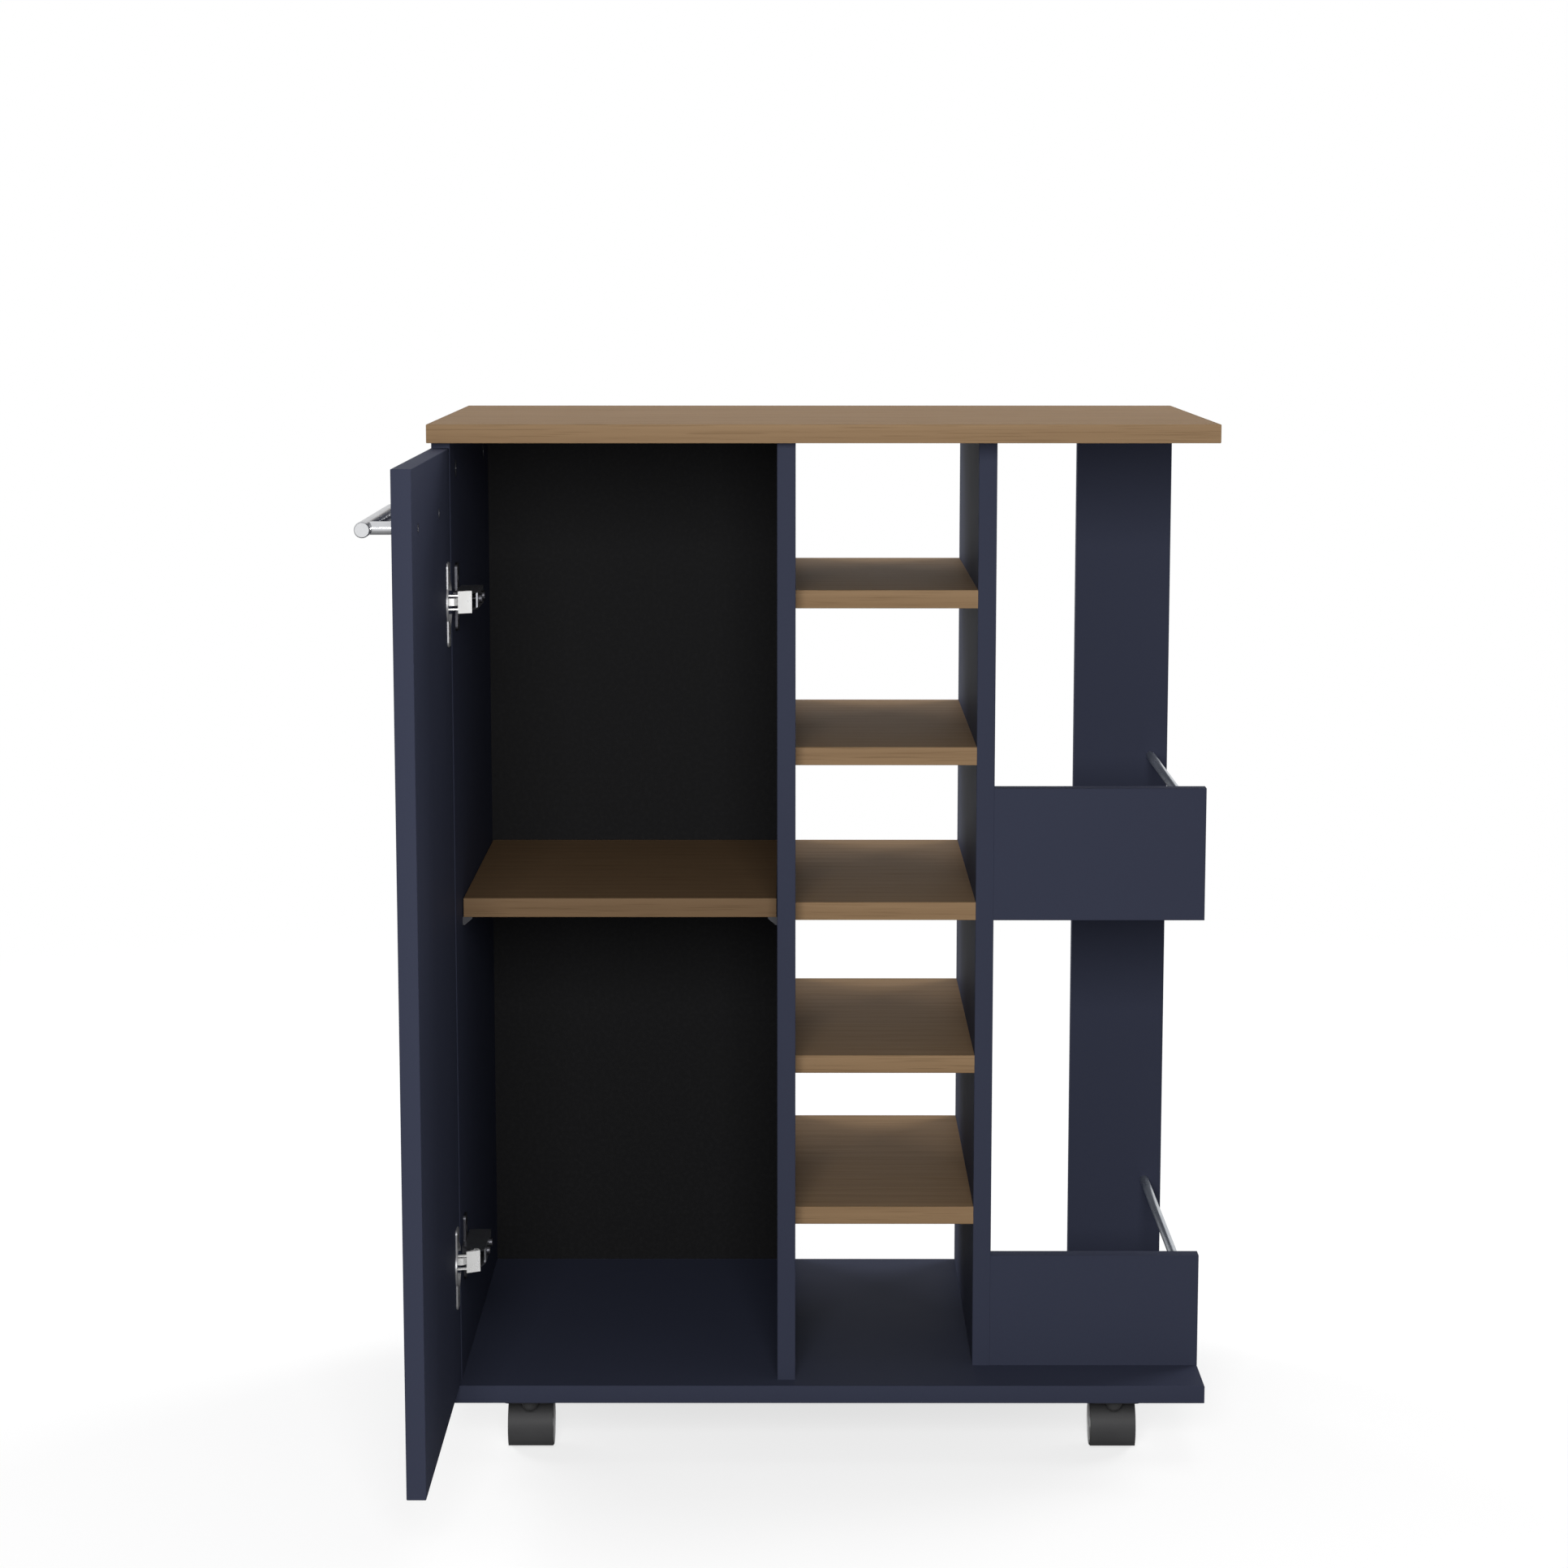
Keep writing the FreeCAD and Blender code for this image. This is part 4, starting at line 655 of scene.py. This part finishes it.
@dataclass(frozen=True)
class EdgeBand:
    """A strip glued to a board's edges, with its two outer corners rounded over."""

    depth: float = 1.0 * MM
    proud: float = 0.35 * MM
    lip: float = 0.08 * MM
    corner_radius: float = 0.75 * MM
    corner_steps: int = 5

    def outline(self, half_thickness: float) -> np.ndarray:
        """The strip's section.

        Two square inner corners, then two quarter circles of the corner radius.

        Args:
            half_thickness: Half of the board's thickness.

        Returns:
            Rows of outward distance and distance across the board, anticlockwise about the run.
        """
        across = half_thickness + self.lip
        turn = np.linspace(0.0, math.pi / 2.0, self.corner_steps)
        arc_out = self.proud - self.corner_radius * (1.0 - np.sin(turn))
        arc_across = across - self.corner_radius * (1.0 - np.cos(turn))
        upper = np.stack([arc_out, arc_across], axis=-1)
        lower = upper[::-1] * np.array([1.0, -1.0])
        inner = np.array([[-self.depth, -across], [-self.depth, across]])
        return np.vstack([inner, upper, lower])

    @staticmethod
    def chain(ways: list[np.ndarray], spare: np.ndarray) -> list[np.ndarray]:
        """The sides that meet at each corner of the strip, as a list of neighbours.

        Args:
            ways: Directions of the banded sides in order; four go all the way round.
            spare: The direction along a single banded side.

        Returns:
            The banded sides, and the bare ones that they end at or else the first again.
        """
        if len(ways) == 4:
            return [*ways, ways[0]]
        if len(ways) == 1:
            return [-spare, *ways, spare]
        return [-ways[1], *ways, -ways[-2]]

    def on_board(self, surface: Surface, node: str, sides: Iterable[Side]) -> None:
        """Adds the strip along a chain of a board's edges, mitred where two meet.

        A place on the strip is the board's corner, plus the outward distance along the sum
        of the directions of the banded sides that meet there, plus the distance across.

        Args:
            surface: The mesh that it goes to.
            node: The board.
            sides: Its edges in order round the board; four make a closed frame.
        """
        low, high = (np.array(corner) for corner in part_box(node))
        middle, half = (low + high) / 2.0, (high - low) / 2.0
        thin = int(np.argmin(half))
        ways = [side.way() for side in sides]
        closed = len(ways) == 4
        spare = next(axis for axis in range(3) if axis != thin and not ways[0][axis])
        chain = self.chain(ways, np.eye(3)[spare])
        outs = [first + second for first, second in zip(chain[:-1], chain[1:])]
        corners = np.array([middle + out * half for out in outs])
        if not closed:
            outs[0], outs[-1] = ways[0], ways[-1]
        # The outer faces point along the first run times the distance across.
        across = np.eye(3)[thin]
        facing = ways[1] if closed else ways[0]
        if np.dot(np.cross(corners[1] - corners[0], across), facing) < 0.0:
            across = -across
        outline = self.outline(half[thin])
        places = (
            corners[:, None, :]
            + np.array(outs)[:, None, :] * outline[None, :, :1]
            + across * outline[None, :, 1:]
        )
        surface.grid(places, wrap_rows=closed, wrap_columns=True)
        if not closed:
            surface.cap(places[0][::-1])
            surface.cap(places[-1])


@dataclass(frozen=True)
class ScrewShape:
    """A cross-recessed screw, measured on the solid that it stands for.

    The recess is laid out on the grid of the head's face, which runs from minus one to one.
    Its depth is a share of the head's radius, and the point is given in shank radii.
    """

    wing: float = 0.15
    wall: float = 0.05
    reach: float = 0.60
    bands: Pair = (0.40, 0.82)
    recess_share: float = 0.42
    rise_share: float = 0.55
    rim_depth: float = 0.15 * MM
    rim_share: float = 0.98
    neck_share: float = 1.02
    point_length_share: float = 2.0
    point_radius_share: float = 0.05

    def stations(self) -> np.ndarray:
        """Grid lines from minus one to one, at the recess's walls and between."""
        marks = (self.wing, self.wing + self.wall, self.reach, self.reach + self.wall, *self.bands, 1.0)
        half = np.array(sorted(marks))
        return np.concatenate([-half[::-1], half])

    def recess(self, first: np.ndarray, second: np.ndarray) -> np.ndarray:
        """Depth of the recess, from zero outside it to one at its middle.

        Each wing is the product of a steep ramp at its sides and one at its end, and it
        rises towards its end.
        """
        def inside(value: np.ndarray, limit: float) -> np.ndarray:
            """One within the limit, falling to zero over the wall."""
            return np.clip((limit + self.wall - np.abs(value)) / self.wall, 0.0, 1.0)

        along = inside(first, self.wing) * inside(second, self.reach)
        beside = inside(second, self.wing) * inside(first, self.reach)
        spread = np.hypot(first, second)
        return np.maximum(along, beside) * (1.0 - self.rise_share * spread / self.reach)

    def profile(self, along: np.ndarray, radius: np.ndarray) -> list[Pair]:
        """Radius and height of the screw's outline, from the head's rim to the tip.

        Args:
            along: Height of each corner of the solid screw along its axis.
            radius: Its distance from the axis.

        Returns:
            Pairs for the rim, the head's underside, the neck, the start of the point and the tip.
        """
        head = radius.max()
        shank = radius[along < along.max() - np.ptp(along) / 2.0].max()
        rim = along[radius > self.rim_share * head]
        neck = along[radius > self.neck_share * shank].min()
        bottom = along.min()
        return [
            (head, rim.max()),
            (head, rim.min() - self.rim_depth),
            (shank, neck),
            (shank, bottom + self.point_length_share * shank),
            (self.point_radius_share * shank, bottom),
        ]

    def add(self, surface: Surface, solid: np.ndarray, outward: np.ndarray) -> None:
        """Adds one screw in the place of a solid.

        The head's face is a square grid pressed into a disc: each of its two lines is
        shortened by the root of one less half the other's square. The rest is that disc's
        rim carried down the head, the shank and the point.

        Args:
            surface: The mesh that it goes to.
            solid: Corners of the solid screw.
            outward: The direction that its head faces.
        """
        beside = [axis for axis in range(3) if not outward[axis]]
        middle = (solid.min(axis=0) + solid.max(axis=0)) / 2.0
        along = (solid - middle) @ outward
        profile = self.profile(along, np.hypot(*(solid[:, axis] - middle[axis] for axis in beside)))
        ways = [np.eye(3)[axis] for axis in beside]
        if np.dot(np.cross(ways[0], ways[1]), outward) < 0.0:
            ways.reverse()
        first, second = np.meshgrid(self.stations(), self.stations(), indexing="ij")
        spread_first = first * np.sqrt(1.0 - second**2 / 2.0)
        spread_second = second * np.sqrt(1.0 - first**2 / 2.0)
        head, rim_top = profile[0]
        bend = 1.0 - (spread_first**2 + spread_second**2)
        drop = self.recess(first, second) * head * self.recess_share
        face = (
            middle
            + (rim_top + (along.max() - rim_top) * bend - drop)[..., None] * outward
            + (spread_first * head)[..., None] * ways[0]
            + (spread_second * head)[..., None] * ways[1]
        )
        surface.grid(face.transpose(1, 0, 2))
        last = len(first) - 1
        count = np.arange(last)
        low, high = np.zeros_like(count), np.full_like(count, last)
        rows = np.concatenate([count, high, last - count, low])
        columns = np.concatenate([low, count, high, last - count])
        rim = (rows, columns)
        circle = spread_first[rim][:, None] * ways[0] + spread_second[rim][:, None] * ways[1]
        rings = np.array([middle + depth * outward + size * circle for size, depth in profile])
        surface.grid(rings[::-1], wrap_columns=True)
        surface.cap(rings[-1][::-1])


def loose_solids(node: str) -> list[np.ndarray]:
    """Splits a node's mesh into the solids that it holds.

    Corners in one place get one number, and each face passes the lowest number of its
    corners to all of them, until nothing changes.

    Args:
        node: A node that holds several solids.

    Returns:
        The corner places of each solid.
    """
    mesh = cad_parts[node].data
    places = np.empty(len(mesh.vertices) * 3)
    mesh.vertices.foreach_get("co", places)
    places = places.reshape(-1, 3)
    corners = np.empty(len(mesh.polygons) * 3, dtype=int)
    mesh.polygons.foreach_get("vertices", corners)
    _, same = np.unique(np.round(places / SAME_PLACE).astype(int), axis=0, return_inverse=True)
    same = same.reshape(-1)
    faces = same[corners].reshape(-1, 3)
    label = np.arange(same.max() + 1)
    while True:
        lowest = label[faces].min(axis=1)
        fresh = label.copy()
        for column in range(3):
            np.minimum.at(fresh, faces[:, column], lowest)
        fresh = fresh[fresh]
        if np.array_equal(fresh, label):
            break
        label = fresh
    group = label[same]
    return [places[group == number] for number in np.unique(group)]


def head_way(solid: np.ndarray) -> np.ndarray:
    """Direction that a screw's head faces: along its longest side, towards its wider end."""
    low, high = solid.min(axis=0), solid.max(axis=0)
    axis = int(np.argmax(high - low))
    middle = (low + high) / 2.0
    radius = np.linalg.norm(np.delete(solid - middle, axis, axis=1), axis=1)
    widest = solid[radius > WIDE_SHARE * radius.max(), axis].mean()
    return np.eye(3)[axis] * (1.0 if widest > middle[axis] else -1.0)


class Dresser:
    """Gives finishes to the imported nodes."""

    @staticmethod
    def dress(nodes: Iterable[str], finish: bpy.types.Material) -> None:
        """Puts one material in the slots of each node."""
        for name in nodes:
            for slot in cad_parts[name].material_slots:
                slot.material = finish
            LOG.info("%s: %s", name, finish.name)


@dataclass
class Boards(Dresser):
    """All faced boards, their prints and their edge bands."""

    band: EdgeBand = EdgeBand()
    pattern_step: Triple = (0.83, 0.37, 0.29)
    rack: tuple[str, ...] = tuple(f"rack_shelf_{number}" for number in range(1, 6))
    oak: tuple[str, ...] = ("top_panel", "cabinet_shelf", *rack)
    navy: tuple[str, ...] = (
        "base_panel", "left_side", "left_partition", "right_partition", "rear_post",
        "tray_floor", "upper_tray_front", "lower_tray_front", "door",
    )

    def banded(self) -> dict[str, tuple[tuple[Side, ...], ...]]:
        """The chains of edges of each board that show a band."""
        all_round = (Side.FRONT, Side.RIGHT, Side.REAR, Side.LEFT)
        front_rear = ((Side.FRONT,), (Side.REAR,))
        left_right = ((Side.LEFT,), (Side.RIGHT,))
        return {
            "top_panel": (all_round,),
            "base_panel": (all_round,),
            "door": ((Side.FRONT, Side.OVER, Side.REAR, Side.UNDER),),
            "left_side": ((Side.FRONT,),),
            "left_partition": ((Side.FRONT,),),
            "right_partition": front_rear,
            "rear_post": left_right,
            "tray_floor": left_right,
            "upper_tray_front": ((Side.OVER, Side.RIGHT, Side.UNDER),),
            "lower_tray_front": ((Side.OVER, Side.RIGHT),),
            "cabinet_shelf": ((Side.FRONT,),),
            **{name: front_rear for name in self.rack},
        }

    def finish(self, name: str) -> Finish:
        """The finish of a board; the shelf in the closed bay gets a darker copy of the oak, as painted
        shade.
        """
        if name not in self.oak:
            return NAVY
        return SHADED_OAK if name == "cabinet_shelf" else OAK

    def build(self) -> None:
        """Dresses every board and adds its bands."""
        bands = self.banded()
        for number, name in enumerate(self.oak + self.navy):
            shift = tuple(number * part for part in self.pattern_step)
            made = self.finish(name).material("_" + name, shift)
            self.dress([name], made)
            strip = Surface()
            for chain in bands[name]:
                self.band.on_board(strip, name, chain)
            body = "door" if name == "door" else "carcass"
            strip.piece(f"{name}_edge_band", body, made)
        self.dress(["back_panel"], BACK.material())


@dataclass
class Fittings(Dresser):
    """Hinges, handle, rails and the small parts that hold the boards."""

    screw: ScrewShape = ScrewShape()

    def build(self) -> None:
        """Dresses the metal and plastic nodes and makes the screws."""
        bar = DrawnBar.of_node(
            "handle_bar", name="satin_bar", colour="b2b3b6", dull="a6a7ab", roughness=0.26,
            unevenness=0.03, metallic=0.85,
        )
        # dark holds the darkest shaded copy of the nickel: painted shade on the hinge feet and on the
        # screws given it below.
        dark, zinc = SHADED_DARK_NICKEL.material(), ZINC.material()
        self.dress(["handle_bar"], bar.material())
        self.dress(["handle_posts"], CHROME.material())
        self.dress(["upper_rail", "lower_rail"], SATIN_CHROME.material())
        # The hinge's one nickel plating comes in lit and shaded copies: a painted highlight on the links
        # and painted shade on the arms.
        self.dress(["hinge_arms"], SHADED_GREY_NICKEL.material())
        self.dress(["hinge_outer_links", "hinge_inner_links"], LIT_NICKEL.material())
        self.dress(["hinge_cups", "hinge_arm_pins", "hinge_cup_pins"], SATIN_NICKEL.material())
        self.dress(["hinge_feet"], dark)
        self.dress(["cam_bolts", "back_nails"], zinc)
        self.dress(["cam_locks"], CASTING.material())
        self.dress(["dowels"], DOWEL_BEECH.material())
        self.dress(["shelf_supports"], SUPPORT_PLASTIC.material())
        self.screws("board_screws", "carcass", "zinc_steel", zinc)
        self.screws("caster_screws", "carcass", "zinc_steel", zinc)
        self.screws("handle_screws", "door", "zinc_steel", dark)
        self.screws("hinge_foot_screws", "carcass", "zinc_steel", dark)
        self.screws("hinge_cup_screws", "door", "zinc_steel", dark)
        self.screws("hinge_clamp_screws", "carcass", "hinge_plating", dark)

    def screws(self, node: str, body: str, slot: str, finish: bpy.types.Material) -> None:
        """Replaces a node of plain screws by cross-recessed ones."""
        surface = Surface()
        solids = loose_solids(node)
        for solid in solids:
            self.screw.add(surface, solid, head_way(solid))
        made = surface.piece(f"recessed_{node}", body, finish)
        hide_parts(node)
        LOG.info("%s: %d screws", node, len(solids))


@dataclass
class Casters(Dresser):
    """Four twin-wheel casters."""

    corners: tuple[str, ...] = ("front_left", "front_right", "rear_left", "rear_right")
    cap_inset: float = 2.5 * MM

    def build(self) -> None:
        """Dresses plates, king pins, hoods, axles and wheels."""
        zinc = ZINC.material("_caster")
        hood = HOOD_PLASTIC.material()
        self.dress(["caster_plates"], BLACK_STEEL.material())
        self.dress(["caster_king_pins"], zinc)
        for corner in self.corners:
            self.dress([f"caster_hood_{corner}"], hood)
            self.dress([f"caster_axle_{corner}"], zinc)
            low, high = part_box(f"caster_axle_{corner}")
            for mark in "ab":
                self.wheel(f"caster_wheel_{corner}_{mark}", (low + high) / 2.0)

    def wheel(self, name: str, middle: Vector) -> None:
        """Dresses one wheel.

        Args:
            name: The wheel's node.
            middle: Middle of the caster's axle.
        """
        low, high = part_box(name)
        left = (low.x + high.x) / 2.0 < middle.x
        reach = (middle.x - low.x if left else high.x - middle.x) - self.cap_inset
        finish = WheelMoulding(
            "wheel_plastic", colour="3a3a3b", shade="313132", roughness=0.37, hub=tuple(middle),
            cap_from=-reach if left else reach,
        )
        self.dress([name], finish.material(name.removeprefix("caster_wheel")))


@dataclass(frozen=True)
class Lamp:
    """One large square lamp: its place, what it points at, its side and its power in watts."""

    name: str
    place: Triple
    aim: Triple
    size: float
    power: float
    mirrored: bool = False

    def build(self) -> None:
        """Adds the lamp; a mirrored one also shows in glossy surfaces."""
        data = bpy.data.lights.new(self.name, "AREA")
        data.size = self.size
        data.energy = self.power
        made = bpy.data.objects.new(self.name, data)
        made.visible_glossy = self.mirrored
        made.location = self.place
        made.rotation_euler = (Vector(self.aim) - Vector(self.place)).to_track_quat("-Z", "Y").to_euler()
        bpy.context.scene.collection.objects.link(made)


@dataclass
class Studio:
    """Camera, lamps, world and floor."""

    lens: float = 81.83
    sensor: float = 36.0
    camera_place: Triple = (-0.02839, -3.07379, 0.99831)
    camera_pitch: float = 8.3096
    camera_yaw: float = 0.0702
    world_light: float = 0.07
    floor_reach: float = 30.0
    floor_glow: float = 0.72
    floor_shade: float = 0.36
    floor_near: float = 0.9
    floor_far: float = 2.4
    lamps: tuple[Lamp, ...] = (
        Lamp("key_lamp", (-0.1, -2.7, 1.15), (0.0, 0.0, 0.6), 0.9, 57.0, mirrored=True),
        Lamp("top_lamp", (0.5, 0.3, 3.4), (0.0, 0.0, 0.6), 2.0, 21.0),
        Lamp("left_lamp", (-3.3, 2.6, 1.7), (0.0, 0.0, 0.5), 2.2, 140.0),
        Lamp("right_lamp", (3.3, 2.6, 1.7), (0.0, 0.0, 0.5), 2.2, 140.0),
    )

    def build(self) -> None:
        """Sets the view, the light and what stands round the object."""
        self.camera()
        self.world()
        self.floor()
        for lamp in self.lamps:
            lamp.build()

    def camera(self) -> None:
        """Camera in front of the object, tipped down a little and turned by next to nothing."""
        data = bpy.data.cameras.new("front_camera")
        data.lens = self.lens
        data.sensor_width = self.sensor
        made = bpy.data.objects.new("front_camera", data)
        made.location = self.camera_place
        tip, turn = math.radians(90.0 - self.camera_pitch), math.radians(self.camera_yaw)
        made.rotation_euler = Euler((tip, 0.0, turn))
        bpy.context.scene.collection.objects.link(made)
        bpy.context.scene.camera = made
        bpy.context.scene.view_settings.view_transform = "Standard"

    def world(self) -> None:
        """White to the eye and in reflections, and dimmer as light."""
        made = bpy.data.worlds.new("studio_world")
        made.use_nodes = True
        bpy.context.scene.world = made
        graph = Graph(made.node_tree)
        sockets = {"Color": WHITE, "Strength": self.backdrop(graph)}
        sky = graph.node("ShaderNodeBackground", None, sockets)
        graph.node("ShaderNodeOutputWorld", None, {"Surface": sky.outputs[0]})

    def backdrop(self, graph: Graph) -> Quantity:
        """One where the eye, a reflection or a clear piece looks, and the world's light elsewhere."""
        path = graph.node("ShaderNodeLightPath").outputs
        names = ("Is Camera Ray", "Is Glossy Ray", "Is Transmission Ray")
        seen = sum((Quantity(graph, path[name]) for name in names), 0.0)
        return (seen > 0.5) * (1.0 - self.world_light) + self.world_light

    def floor(self) -> None:
        """A wide pale floor under the object."""
        steps = np.array([-self.floor_reach, 0.0, self.floor_reach])
        across, deep = np.meshgrid(steps, steps)
        surface = Surface()
        surface.grid(np.stack([across, deep, np.zeros_like(across)], axis=-1))
        surface.placed("studio_floor", self.paper())

    def paper(self) -> bpy.types.Material:
        """The floor's paper, which keeps the shadow nearby and turns into the backdrop further out.

        Nearby it is diffuse, with a little of its own white for the eye alone. The share of
        the backdrop rises smoothly with the distance from the object's middle.
        """
        made = bpy.data.materials.new("white_paper")
        made.use_nodes = True
        graph = Graph(made.node_tree)
        seen = Quantity(graph, graph.node("ShaderNodeLightPath").outputs["Is Camera Ray"])
        matt = graph.node("ShaderNodeBsdfDiffuse", None, {"Color": (*(self.floor_shade,) * 3, 1.0)})
        own = {"Color": WHITE, "Strength": seen * self.floor_glow}
        glow = graph.node("ShaderNodeEmission", None, own)
        near = graph.node("ShaderNodeAddShader", None, {0: matt.outputs[0], 1: glow.outputs[0]})
        beyond = {"Color": WHITE, "Strength": self.backdrop(graph)}
        far = graph.node("ShaderNodeEmission", None, beyond)
        across, deep, _ = graph.parts(graph.place())
        share = ((across * across + deep * deep) ** 0.5).ramp(self.floor_near, self.floor_far)
        both = graph.node("ShaderNodeMixShader", None, {0: share, 1: near.outputs[0], 2: far.outputs[0]})
        graph.node("ShaderNodeOutputMaterial", None, {"Surface": both.outputs[0]})
        return made


def main() -> None:
    """Builds and dresses the object, then its studio."""
    logging.basicConfig(level=logging.INFO, format="%(name)s %(message)s")
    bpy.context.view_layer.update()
    for part in (Boards(), Fittings(), Casters(), Studio()):
        LOG.info("building %s", type(part).__name__)
        part.build()
    bpy.context.view_layer.update()


if __name__ == "__main__":
    main()
